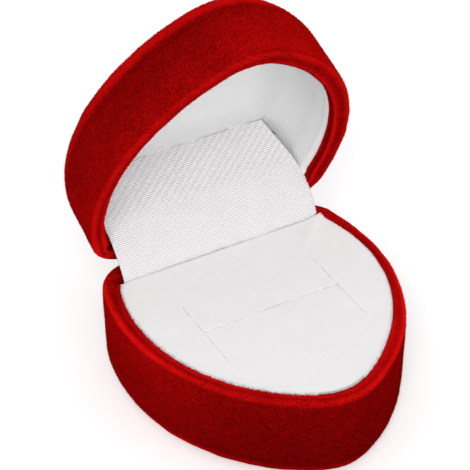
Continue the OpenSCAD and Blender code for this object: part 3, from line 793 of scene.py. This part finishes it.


# Pile: spikes on cells of a velvet skin, picked by their area, at random places in them. Each stands
# along the normal of its cell, tilted at random, and its tip takes the skin's painted light and a random
# share more, a painted highlight on the fibre ends
def pileOver(name, grid, look, firstRow, count, seed, centre, tipPaintedLight):
    s = pile
    rng = np.random.default_rng(seed)
    grid, look = grid[firstRow:], look[firstRow:len(grid)]
    wide = wrapped(grid)
    a, b, c, d = wide[:-1, :-1], wide[:-1, 1:], wide[1:, 1:], wide[1:, :-1]
    normal = np.cross(c - a, d - b).reshape(-1, 3)
    area = np.linalg.norm(normal, axis=1)
    pick = rng.choice(len(area), count, p=area / area.sum())
    u, v = rng.uniform(0, 1, (2, count, 1))
    corner = [part.reshape(-1, 3)[pick] for part in (a, b, c, d)]
    root = mix(mix(corner[0], corner[1], u), mix(corner[3], corner[2], u), v)
    facing = np.sign((normal * (((a + c) / 2).reshape(-1, 3) - centre)).sum())
    out = facing * normal[pick] / area[pick, None]
    ways = out + rng.normal(0, s["lean"], (count, 3))
    ways += out * np.maximum(0, s["upright"] - (ways * out).sum(1, keepdims=True))
    foot, worn = look[:-1].reshape(-1, 2)[pick].T
    tip = foot + rng.uniform(*tipPaintedLight, count)
    lengths = rng.uniform(*s["length"], count) * worn
    piece = fibres(name, root - out * s["sink"], ways, lengths, s["width"], velvet, (foot, tip))
    return piece


basePile = pileOver("basePile", baseGrid, baseLook, pile["baseFirstRow"], 45000, 24,
                    np.array(pile["baseMiddle"]), (0.0, 1.0))
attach(basePile, "base")
lidPile = pileOver("lidPile", lidGrid, lidLook, 0, 49000, 25,
                   onLid(np.array(pile["lidMiddle"])), (0.1, 0.8))
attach(lidPile, "lid")
print("pile raised")


# What the fringes have in common
fringe = {
    "count": 4200, "width": 0.055 * mm, "reach": (0.2 * mm, 0.6 * mm), "lean": 0.35, "material": velvet,
    # Fibres of the fringes carry painted light, brighter at their tips, a painted highlight
    "steps": (120, 200, 200, 120), "aside": 0.45, "leanSpread": 0.3, "paintedLights": (0.7, 1.6),
}


# Fringe along the inner edge of a rim: roots at random places of the outline in front of y = front,
# between two insets and two depths and moved by bend, leaning towards the middle of the box and up by
# lean
def rimFringe(name, look, place, bend=None):
    s = {**fringe, **look}
    count, tall = s["count"], s["tall"]
    rng = np.random.default_rng(s["seed"])
    ring = wallGrid(s["insets"], tall - np.array(s["depths"]), tall, s["steps"], webY)
    allowed = np.flatnonzero(ring[1, :, 1] < s["front"])
    ring = ring if bend is None else ring + bend(ring)
    pick = rng.choice(allowed, count)
    roots = mix(ring[0, pick], ring[1, pick], rng.uniform(0, 1, count)[:, None])
    along = unit(np.roll(ring[1], -1, 0) - np.roll(ring[1], 1, 0))
    inward = np.stack([-along[:, 1], along[:, 0], 0 * along[:, 0]], 1)[pick]
    ways = inward + along[pick] * rng.normal(0, s["aside"], count)[:, None]
    ways[:, 2] = s["lean"] + rng.normal(0, s["leanSpread"], count)
    ways = place(roots + ways * mm) - place(roots)
    lengths = rng.uniform(*s["reach"], count)
    return fibres(name, place(roots), ways, lengths, s["width"], s["material"], s["paintedLights"])


lidFringe = rimFringe("lidFringe", {
    "tall": lidHeight, "insets": (2.7 * mm, 2.95 * mm), "depths": (0.7 * mm, 2.0 * mm),
    "reach": (0.15 * mm, 0.4 * mm), "front": 22 * mm, "seed": 22,
}, onSlimLid)
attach(lidFringe, "lid")
print("fringes set")

# Pad in the base, a flocked board with a crown, a rounded edge and slits in the shape of an H. Laps is
# how far its edge goes out over the turn from the tip, which fades out along its back except at the ends
padBoard = {
    "recess": 0.65 * mm,
    "crown": 0.35 * mm,
    "edge": 0.4 * mm,
    "skirt": 4.0 * mm,
    "skirtIn": 1.2 * mm,
    "skirtRows": 4,
    "edgeUp": 1e-6,
    "flare": 1.6 * mm,
    "clear": 0.1 * mm,
    "coverIn": 5.0 * mm,
    "steps": (30, 60, 60, 36),
    "edgeRows": 9,
    "crownRows": 46,
    "lapTurns": (-165, -150, -115, -90, -65, -40, 0, 45, 70, 85, 105, 122, 135, 150),
    "laps": np.array((0, -0.5, -0.6, -0.3, -0.05, 0.05, 0, 0.1, 0.65, 0.75, 0.5, 1.1, 0.6, 0)) * mm,
    "lapRise": 0.62,
    "mostShare": 1.1,
    "risePower": 4,
    "lapPower": 8,
    "endsFrom": (15 * mm, 7 * mm),
    "sidesTo": (19 * mm, -3 * mm),
    "backFade": 5 * mm,
    "waves": ((0.03 * mm, 11 * mm, 31, 9), (0.008 * mm, 1.6 * mm, 32, 16)),
    "wavedFrom": 0.1 * mm,
    "slitWidths": (0.014 * mm, 0.008 * mm, 0.008 * mm),
    "slitHalfGap": 15.0 * mm,
    "slitFront": -8.6 * mm,
    "slitBack": 11.0 * mm,
    "slitMiddle": 1.9 * mm,
    "slitDeep": 1.2 * mm,
    "dip": 0.002 * mm,
    "dipReach": 0.4 * mm,
}
padBack = backY - padBoard["coverIn"] - padBoard["clear"]


# Distance from a slit: the nearest of three straight stretches
def slitDistance(x, y):
    s = padBoard
    overY = np.maximum(np.maximum(s["slitFront"] - y, y - s["slitBack"]), 0)
    sides = np.hypot(np.abs(x) - s["slitHalfGap"], overY)
    overX = np.maximum(np.abs(x) - s["slitHalfGap"], 0)
    return np.minimum(sides, np.hypot(y - s["slitMiddle"], overX))


# How far the pad rises where it laps over the rim: lapRise · lap · share to the power risePower. The
# share is the distance from the middle over that of the outline the same way
def padRise(points):
    s = padBoard
    ring = wallGrid([heart["rim"] + s["clear"]], [baseHeight], baseHeight, s["steps"])
    angle = np.arctan2(ring[0, :, 0], -ring[0, :, 1])
    order = np.argsort(angle)
    reach = np.hypot(ring[0, :, 0], ring[0, :, 1])[order]
    lap = np.maximum(np.interp(outward(ring)[1][0], s["lapTurns"], s["laps"]), 0)[order]
    at = np.arctan2(points[..., 0], -points[..., 1])
    share = np.hypot(points[..., 0], points[..., 1]) / np.interp(at, angle[order], reach)
    lap = np.interp(at, angle[order], lap)
    return s["lapRise"] * lap * np.minimum(share, s["mostShare"]) ** s["risePower"]


# The pad sits a little to the right and laps over the rim there: its outline goes out by laps along its
# outward way, and it rises
def padLap(ring):
    s = padBoard
    way, turn = outward(ring)
    x, y = ring[..., 0], ring[..., 1]
    lap = np.interp(turn, s["lapTurns"], s["laps"])
    lap *= np.maximum(ease(np.abs(x), *s["endsFrom"]), ease(y, *s["sidesTo"]))
    way[..., 1] *= ease(y, padBack, -s["backFade"])
    return np.concatenate([way * lap[..., None], padRise(ring)[..., None]], -1)


# Pad: rings from the skirt up over a quarter round edge, then shrinking to the middle while they rise by
# crown · (1 - share²). There the lap is times share to the power lapPower
def padCoverPiece():
    s = padBoard
    top = baseHeight - s["recess"]
    turn = quarter(s["edgeRows"])
    off = np.concatenate([[s["skirtIn"], 0, 0, 0], s["edge"] * (1 - np.cos(turn))])
    z = np.concatenate([top - np.array([s["skirt"], s["skirt"], s["flare"], s["edge"]]),
                        top - s["edge"] * (1 - np.sin(turn)) + s["edgeUp"]])
    inset = heart["rim"] + s["clear"] + off
    side = wallGrid(inset, z, baseHeight, s["steps"], padBack - off)
    lap = padLap(wallGrid(inset, z, baseHeight, s["steps"]))
    lap[..., 2] = padRise(side)
    lap *= (np.arange(len(z)) >= s["skirtRows"])[:, None, None] | (lap[..., 2:] <= 0)
    share = np.linspace(1, 0, s["crownRows"])[1:-1][:, None, None]
    crown = side[-1:] * share * [1, 1, 0]
    crown[..., 2] = top + s["crown"] * (1 - share[..., 0] ** 2)
    crown += lap[-1:] * share ** s["lapPower"] * [1, 1, 0]
    crown[..., 2] += padRise(crown)
    side += lap
    grid = np.concatenate([side, crown])
    back = padBack - np.concatenate([off, np.full(len(crown), off[-1])])
    grid[..., 1] = np.minimum(grid[..., 1], back[:, None])
    near = np.exp(-(slitDistance(grid[..., 0], grid[..., 1]) / s["dipReach"]) ** 2)
    high = grid[..., 2] > top - s["wavedFrom"]
    grid[..., 2] -= high * s["dip"] * near
    grid[..., 2] += high * rippled(grid, s["waves"])
    return skin("padCover", grid, flock, wrap=True, poles=True)


# A closed box from its middle and half sizes
def boxPiece(name, middle, half):
    corners = np.array([(x, y, z) for x in (-1, 1) for y in (-1, 1) for z in (-1, 1)]) * half + middle
    quads = np.array([[0, 1, 3, 2], [4, 6, 7, 5], [0, 4, 5, 1], [2, 3, 7, 6], [0, 2, 6, 4], [1, 5, 7, 3]])
    return meshOf(name, corners, quads)


# Cuts cutter out of piece and leaves the result in piece's mesh
def cutAway(piece, cutter):
    modifier = piece.modifiers.new("cut", "BOOLEAN")
    modifier.operation = "DIFFERENCE"
    modifier.solver = "EXACT"
    modifier.object = cutter
    bpy.context.view_layer.update()
    shaped = bpy.data.meshes.new_from_object(piece.evaluated_get(bpy.context.evaluated_depsgraph_get()))
    piece.modifiers.clear()
    piece.data = shaped
    bpy.data.objects.remove(cutter)


# Cuts the three slits of the pad, each a thin box
def cutSlits(piece):
    s = padBoard
    z, deep, gap = baseHeight - s["recess"], s["slitDeep"], s["slitHalfGap"]
    middle, half = (s["slitBack"] + s["slitFront"]) / 2, (s["slitBack"] - s["slitFront"]) / 2
    right, left, across = (width / 2 for width in s["slitWidths"])
    for at, size in (
        ((gap, middle, z), (right, half, deep)),
        ((-gap, middle, z), (left, half, deep)),
        ((0, s["slitMiddle"], z), (gap, across, deep)),
    ):
        cutAway(piece, boxPiece("slitCutter", np.array(at), np.array(size)))


padCover = padCoverPiece()
cutSlits(padCover)
padCover.data.name = "padCover"
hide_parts("pad_cover")
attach(padCover, "base")
baseFringe = rimFringe("baseFringe", {
    "tall": baseHeight, "insets": (2.55 * mm, 2.95 * mm), "depths": (0.6 * mm, 0.75 * mm),
    "front": 23 * mm, "seed": 21,
}, asDrawn, padLap)
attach(baseFringe, "base")
padFuzz = rimFringe("padFuzz", {
    "tall": baseHeight, "count": 2800, "insets": (3.0 * mm, 3.3 * mm), "depths": (0.8 * mm, 0.68 * mm),
    "reach": (0.25 * mm, 0.6 * mm), "width": 0.1 * mm, "lean": 0.6, "front": 22.8 * mm, "seed": 23,
    "material": flock,
}, asDrawn, padLap)
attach(padFuzz, "base")
print("pad covered")


# Points along a line of given points, evenly spaced by length, and their lengths along it
def evenLine(points, count):
    length = runOf(points)
    at = np.linspace(0, length[-1], count)
    return np.stack([np.interp(at, length, points[:, k]) for k in range(points.shape[1])], 1), at


# y and z of a point of the open lid, from its distance to the backs of the lobes and its depth
def opened(inset, depth):
    return onLid(np.array([0, backY - inset, lidHeight - depth]))[1:]


# Satin over the hinge: from behind the pad up in a shallow belly, then over the back card to the ceiling.
# Half widths and shifts to the side are given at its start, behind the pad's edge, at the bend where it
# meets the lid, a little above and at its end
satinCover = {
    "tuck": 3.4 * mm,
    "startDeep": 0.3 * mm,
    "belly": 0.6 * mm,
    "bellyPoints": 40,
    "smoothings": 10,
    "low": (5.75 * mm, 2.8 * mm),
    "high": (10.3 * mm, 15.3 * mm),
    "aboveBend": 4 * mm,
    "halfWidths": (22.1 * mm, 22.3 * mm, 22.3 * mm, 22.2 * mm, 18.6 * mm),
    "shifts": (1.0 * mm, 1.0 * mm, 0.6 * mm, -0.2 * mm, 0),
    "thick": 0.28 * mm,
    "columns": 90,
    "rows": 330,
    "hem": 0.99,
    "waves": ((0.07 * mm, 14 * mm, 41, 9), (0.02 * mm, 4 * mm, 42, 9)),
    "ribPitch": 0.40 * mm,
    "ribDepth": 0.03 * mm,
    "bandFade": 5 * mm,
    "edgePaintedShadow": 0.8,
    "edgeFade": 3 * mm,
}


# Cover of the hinge: its side view is start + share of the way + belly · sin(π share), smoothed, each
# point pushed along its normal by waves and ribs, ribDepth · sin(2π length / ribPitch). A second sheet
# lies thick behind it. Gives the piece, both ends of the belly, its length and its mean width
def hingeCoverPiece():
    s = satinCover
    frontY = backY - padBoard["coverIn"]
    start = np.array([frontY, baseHeight - s["startDeep"]])
    end, top = opened(*s["low"]), opened(*s["high"])
    run = np.linalg.norm(end - start)
    way = (end - start) / run
    ahead = np.array([-way[1], way[0]])
    share = np.linspace(0, 1, s["bellyPoints"])[:, None]
    slope = mix(start, end, share) + ahead * s["belly"] * np.sin(math.pi * share)
    line = np.concatenate([[[frontY, baseHeight - s["tuck"]]], slope, [top]])
    line, length = evenLine(line, s["rows"])
    for _ in range(s["smoothings"]):
        line[1:-1] = (line[:-2] + 2 * line[1:-1] + line[2:]) / 4
    along = unit(np.gradient(line, axis=0))
    turned = np.stack([-along[:, 1], along[:, 0]], 1)[:, None]
    bend = s["tuck"] + run
    at = [0, s["tuck"], bend, bend + s["aboveBend"], length[-1]]
    half, shift = np.interp(length, at, s["halfWidths"]), np.interp(length, at, s["shifts"])
    across = np.concatenate([[-1], np.linspace(-s["hem"], s["hem"], s["columns"] - 2), [1]])
    x = half[:, None] * across + shift[:, None]
    flat = np.concatenate([x[..., None], np.broadcast_to(line[:, None], (*x.shape, 2))], -1)
    push = rippled(flat, s["waves"])
    push += s["ribDepth"] * np.sin(2 * math.pi * length / s["ribPitch"])[:, None]
    lifted = flat + np.concatenate([0 * x[..., None], push[..., None] * turned], -1)
    behind = lifted.copy()
    behind[..., 1:] -= s["thick"] * turned
    grid = np.concatenate([lifted, behind[:, ::-1]], 1)
    uv = np.stack([x, np.broadcast_to(length[:, None], x.shape)], -1) / mm
    band = ease(length, bend, s["bandFade"])[:, None] * np.ones(grid.shape[1])
    # Painted shadow: a near-black line along the cover's right edge, from the bend up
    gap = np.zeros(grid.shape[:2])
    gap[:, s["columns"] - 1:s["columns"] + 1] = s["edgePaintedShadow"] * ease(length, bend, s["edgeFade"])[:, None]
    uv = wrapped(np.concatenate([uv, uv[:, ::-1]], 1))
    piece = skin("hingeCover", grid, satin, wrap=True, ends=True, uv=uv, marks={"band": band, "gap": gap})
    return piece, start, end, length[-1], 2 * half.mean()


hingeCover, coverStart, coverEnd, coverLength, coverWidth = hingeCoverPiece()
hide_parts("hinge_cover", "lid_back_card")
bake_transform(hingeCover)
print("hinge covered")

# Lining of the lid: the dished side of the hollow, a quarter ellipse below an upright stretch, with a
# plain hem round its mouth
liningCloth = {
    "recess": 2.3 * mm,
    "inset": 3.2 * mm,
    "lean": 0.8 * mm,
    "leanAt": (0, 0.6, 1),
    "leanShares": (0, 0.5, 1),
    "curveStart": 7.2 * mm,
    "ceiling": 15.2 * mm,
    "ceilingShare": 0.77,
    "thick": 0.2 * mm,
    "panel": 0.4 * mm,
    "steps": (40, 70, 60, 30),
    "wallRows": 8,
    "curveRows": 30,
    "leafIn": 0.6 * mm,
    "edgeBevel": 3.1 * mm,
    "backGap": 0.7 * mm,
    "proud": 0.12 * mm,
    "waves": ((0.04 * mm, 6 * mm, 51, 9), (0.015 * mm, 2 * mm, 52, 9)),
    "hem": 1.9 * mm,
    "hemProud": 0.2 * mm,
    "hemFade": 0.15 * mm,
    "plainFade": 0.1 * mm,
    "hemBack": (-1 * mm, -3 * mm),
    # Where the lining is painted in shadow: its left back corner, beside the hinge cover
    "paintedShadowDepth": 9 * mm,
    "paintedShadowSide": (-20.8 * mm, -0.3 * mm),
    "paintedShadowBack": (-1.6 * mm, 0.4 * mm),
}


# How far back the hollow may reach at a height: in front of the leaf's rivets and of the cleft
def hollowBack(z):
    s = liningCloth
    shell = backY - cleftAt(z, lidHeight) - heart["wall"] - (lidHeight - z) * math.tan(heart["draft"])
    return np.minimum(webY - s["leafIn"], shell - np.maximum(0, s["edgeBevel"] - z)) - s["backGap"]


# Hollow moved out by off: an upright stretch, then a quarter ellipse that shrinks the heart towards the
# back by ceilingShare while it goes down to the ceiling
def hollowGrid(off):
    s = liningCloth
    z = np.linspace(lidHeight - s["recess"], lidHeight - s["curveStart"], s["wallRows"])
    lean = s["lean"] * np.interp(np.linspace(0, 1, len(z)), s["leanAt"], s["leanShares"])
    x, y = heartGrid(s["inset"] + lean - off, np.full(len(z), heart["rimCleft"]), s["steps"])
    wall = atHeights(x, np.minimum(y, (hollowBack(z) + off)[:, None]), z)
    turn = quarter(s["curveRows"])[1:]
    deep = s["ceiling"] + s["panel"] - s["thick"] - s["curveStart"] + off
    z = lidHeight - s["curveStart"] - deep * np.sin(turn)
    share = mix(1, s["ceilingShare"], 1 - np.cos(turn))[:, None]
    to = hollowBack(lidHeight - s["curveStart"]) + off
    y = np.minimum(mix(to, wall[-1, :, 1], share), (hollowBack(z) + off)[:, None])
    return np.concatenate([wall, atHeights(wall[-1, :, 0] * share, y, z)])


# Lining: the hollow and, behind it, the hollow moved out by its thickness. The front is drawn in along
# the hem by hemProud and pushed along its normals by waves. Gives the piece, its length and its width
def lidLiningPiece():
    s = liningCloth
    front, behind = hollowGrid(0), hollowGrid(s["thick"])
    depth = lidHeight - front[..., 2] - s["recess"]
    away = unit(front[..., :2] - front[..., :2].mean(1, keepdims=True))
    toBack = front[..., 1] - hollowBack(front[..., 2])
    hem = s["hemProud"] * (1 - ease(depth, s["hem"], s["hemFade"])) * ease(toBack, *s["hemBack"])
    front[..., :2] -= away * hem[..., None]
    normal = gridNormals(front)
    inward = normal * np.sign((normal[..., :2] * -away).sum(-1).mean())
    front += inward * (s["proud"] + rippled(front, s["waves"]))[..., None]
    grid = np.concatenate([front, behind[::-1]])
    around = runOf(wrapped(front[3:4])[0]) / mm
    down = runOf(front[:, 0]) / mm
    rows = np.concatenate([down, down[::-1], down[:1]])
    uv = np.stack(np.broadcast_arrays(rows[:, None], around[None]), -1)
    plain = 1 - ease(depth, s["hem"], s["plainFade"])
    toBack = front[..., 1] - hollowBack(front[..., 2])
    # Painted shadow: the lining's corner on the left back, beside the hinge cover and down to a depth, turns
    # near-black red
    corner = ease(front[..., 0], *s["paintedShadowSide"]) * ease(toBack, *s["paintedShadowBack"]) * (depth < s["paintedShadowDepth"])
    marks = {"plain": np.concatenate([plain, plain[::-1]]), "band": np.ones(grid.shape[:2]),
             "gap": np.concatenate([corner, corner[::-1]])}
    piece = skin("lidLining", onLid(grid), liningSatin, wrap=True, loop=True, uv=uv, marks=marks)
    return piece, around[-1] * mm, down[-1] * mm


lidLining, liningLength, liningWidth = lidLiningPiece()
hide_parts("lid_lining")
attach(lidLining, "lid")
print("lid lined")


# Soft panel on the ceiling: its sizes are shares of the hollow's heart
softPanel = {
    "rim": 0.815,
    "round": 0.015,
    "least": 0.03,
    "closing": 0.96,
    "edgeRows": 6,
    "topRows": 40,
    "proud": 0.05 * mm,
    "backIn": 10.2 * mm,
    "middle": (0.0, -8 * mm),
    "waves": ((0.05 * mm, 9 * mm, 61, 9), (0.012 * mm, 1.2 * mm, 62, 9)),
    "plain": 0.75,
    "plainReach": 0.3,
}


# Ceiling panel: the heart of the hollow shrunk towards its back, with a rounded edge, then rings that
# close in on a middle that lies well inside the panel
def ceilingPanelPiece():
    s, cloth = softPanel, liningCloth
    foot = hollowGrid(0)[cloth["wallRows"] - 1]
    to = hollowBack(lidHeight - cloth["curveStart"])
    rim, turn = s["rim"], quarter(s["edgeRows"])
    tall = cloth["panel"] + s["proud"]
    edge = np.concatenate([[rim + s["round"]], rim + s["round"] * np.cos(turn)])[:, None]
    rise = np.concatenate([[0], tall * (0.5 + 0.5 * np.sin(turn))])
    top = np.linspace(rim, s["least"], s["topRows"])[1:, None]
    inner = (rim - top) / (rim - s["least"]) * s["closing"]
    backLimit = backY - s["backIn"]
    x, y = foot[:, 0] * edge, np.minimum(mix(to, foot[:, 1], edge), backLimit)
    rimX, rimY = foot[:, 0] * rim, np.minimum(mix(to, foot[:, 1], rim), backLimit)
    x = np.concatenate([x, mix(rimX, s["middle"][0], inner)])
    y = np.concatenate([y, mix(rimY, s["middle"][1], inner)])
    heights = np.concatenate([rise, np.full(len(top), tall)])
    grid = atHeights(x, y, lidHeight - cloth["ceiling"] - cloth["panel"] + heights)
    upper = grid[s["edgeRows"]:]
    upper[..., 2] += rippled(upper, s["waves"])
    uv = wrapped(grid)[..., 1::-1] / mm
    shares = np.concatenate([edge, top])
    marks = {"plain": np.broadcast_to(s["plain"] * ease(rim - shares, 0, s["plainReach"]), x.shape),
             "band": np.ones(x.shape)}
    return skin("ceilingPanel", onLid(grid), liningSatin, wrap=True, poles=True, uv=uv, marks=marks)


ceilingPanel = ceilingPanelPiece()
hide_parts("lid_ceiling_panel")
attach(ceilingPanel, "lid")
print("ceiling laid")

# Finishes of the solids that stay
finishes = {
    "base_shell": plastic, "lid_shell": plastic, "pad_foam": foam, "pad_card": card, "lid_tray": card,
    "base_hinge_leaf": steel, "lid_hinge_leaf": steel, "hinge_pin": steel, "snap_spring": springSteel,
    "base_leaf_rivets": brass, "lid_leaf_rivets": brass,
}
for name, material in finishes.items():
    nodes[name].data.materials.clear()
    nodes[name].data.materials.append(material)

# Camera of the photograph, fitted to the box: its distance and turn round the middle of the base's rim
view = {
    "elevation": math.radians(37.619),
    "turn": math.radians(29.505),
    "roll": math.radians(-0.05),
    "distance": 368.946 * mm,
    "focalPixels": 1908.9,
    "framePixels": 470,
    "targetPixel": (277.9, 312.215),
    "target": (0, -0.393 * mm, 19.904 * mm),
    "sensor": 36.0,
    "clip": (0.01, 20),
}


# Camera at target + back · distance, back from the elevation and the turn. The target is moved so that
# the targetPixel of the frame shows it
def addCamera():
    s = view
    e, b = s["elevation"], s["turn"]
    back = Vector((-math.sin(b) * math.cos(e), -math.cos(b) * math.cos(e), math.sin(e)))
    right = Vector((math.cos(b), -math.sin(b), 0))
    up = back.cross(right)
    c, r = math.cos(s["roll"]), math.sin(s["roll"])
    right, up = right * c + up * r, up * c - right * r
    scale = s["distance"] / s["focalPixels"]
    half = s["framePixels"] / 2
    target = Vector(s["target"]) - right * (s["targetPixel"][0] - half) * scale
    target += up * (s["targetPixel"][1] - half) * scale
    data = bpy.data.cameras.new("camera")
    data.sensor_width = s["sensor"]
    data.lens = s["focalPixels"] * s["sensor"] / s["framePixels"]
    data.clip_start, data.clip_end = s["clip"]
    camera = newObject("camera", data)
    camera.matrix_world = Matrix.Translation(target + back * s["distance"]) @ Matrix((
        (right.x, up.x, back.x, 0), (right.y, up.y, back.y, 0), (right.z, up.z, back.z, 0), (0, 0, 0, 1)))
    bpy.context.scene.camera = camera


# Studio: lamps by place, size and power, aimed at the middle of the box, and a pale floor and a world
# that look white to the camera. Where the lamps fall off, far from the box, the floor shines more
studio = {
    "aim": (0, 0, 0.03),
    "floorHalf": 3.0,
    "floorColour": (0.86, 0.86, 0.86, 1),
    "white": (1, 1, 1, 1),
    "glow": {"perMetre": 0.4, "near": 0.18, "least": 0.3, "most": 0.6},
    "worldLight": 0.66,
}


# Disk lamp aimed at the middle of the box
def addLamp(name, at, size, power):
    data = bpy.data.lights.new(name, "AREA")
    data.shape = "DISK"
    data.size = size
    data.energy = power
    lamp = newObject(name, data)
    lamp.location = at
    aim = Vector(studio["aim"]) - Vector(at)
    lamp.rotation_mode = "QUATERNION"
    lamp.rotation_quaternion = aim.to_track_quat("-Z", "Y")


# 1 where the camera sees a surface, by itself, in a gloss or through glass, and 0 for other light
def seenBy(tree):
    path = newNode(tree, "LightPath")
    seen = calc(tree, "MAXIMUM", path["Is Camera Ray"], path["Is Glossy Ray"])
    return calc(tree, "MAXIMUM", seen, path["Is Transmission Ray"])


# Pale floor that glows where it is seen: perMetre · distance + near, between least and most
def addFloor():
    glow = studio["glow"]
    material, tree, shader = newMaterial(
        "paleFloor", Base_Color=studio["floorColour"], Roughness=0.9, Specular_IOR_Level=0.1,
        Emission_Color=studio["white"])
    away = tree.nodes.new("ShaderNodeVectorMath")
    away.operation = "LENGTH"
    tree.links.new(objectPlace(tree), away.inputs[0])
    shine = calc(tree, "MULTIPLY_ADD", away.outputs["Value"], glow["perMetre"], glow["near"])
    shine = calc(tree, "MINIMUM", calc(tree, "MAXIMUM", shine, glow["least"]), glow["most"])
    join(tree, calc(tree, "MULTIPLY", seenBy(tree), shine), shader.inputs["Emission Strength"])
    corners = np.array([(-1, -1, 0), (1, -1, 0), (1, 1, 0), (-1, 1, 0)]) * studio["floorHalf"]
    floor = meshOf("floor", corners, np.array([(0, 1, 2, 3)]), material=material)


# White world: its strength is 1 where it is seen and worldLight where it lights the box
def addWorld():
    strength = studio["worldLight"]
    world = bpy.data.worlds.new("studio")
    world.use_nodes = True
    tree = world.node_tree
    background = tree.nodes["Background"]
    background.inputs["Color"].default_value = studio["white"]
    light = calc(tree, "MULTIPLY_ADD", seenBy(tree), 1 - strength, strength)
    join(tree, light, background.inputs["Strength"])
    bpy.context.scene.world = world


addCamera()
addLamp("keyLamp", (-0.42, -0.6, 0.68), 0.4, 4.0)
addLamp("frontLamp", (-0.14, -1.12, 0.24), 0.6, 3.6)
addFloor()
addWorld()
bpy.context.scene.view_settings.view_transform = "Standard"
print("studio set")
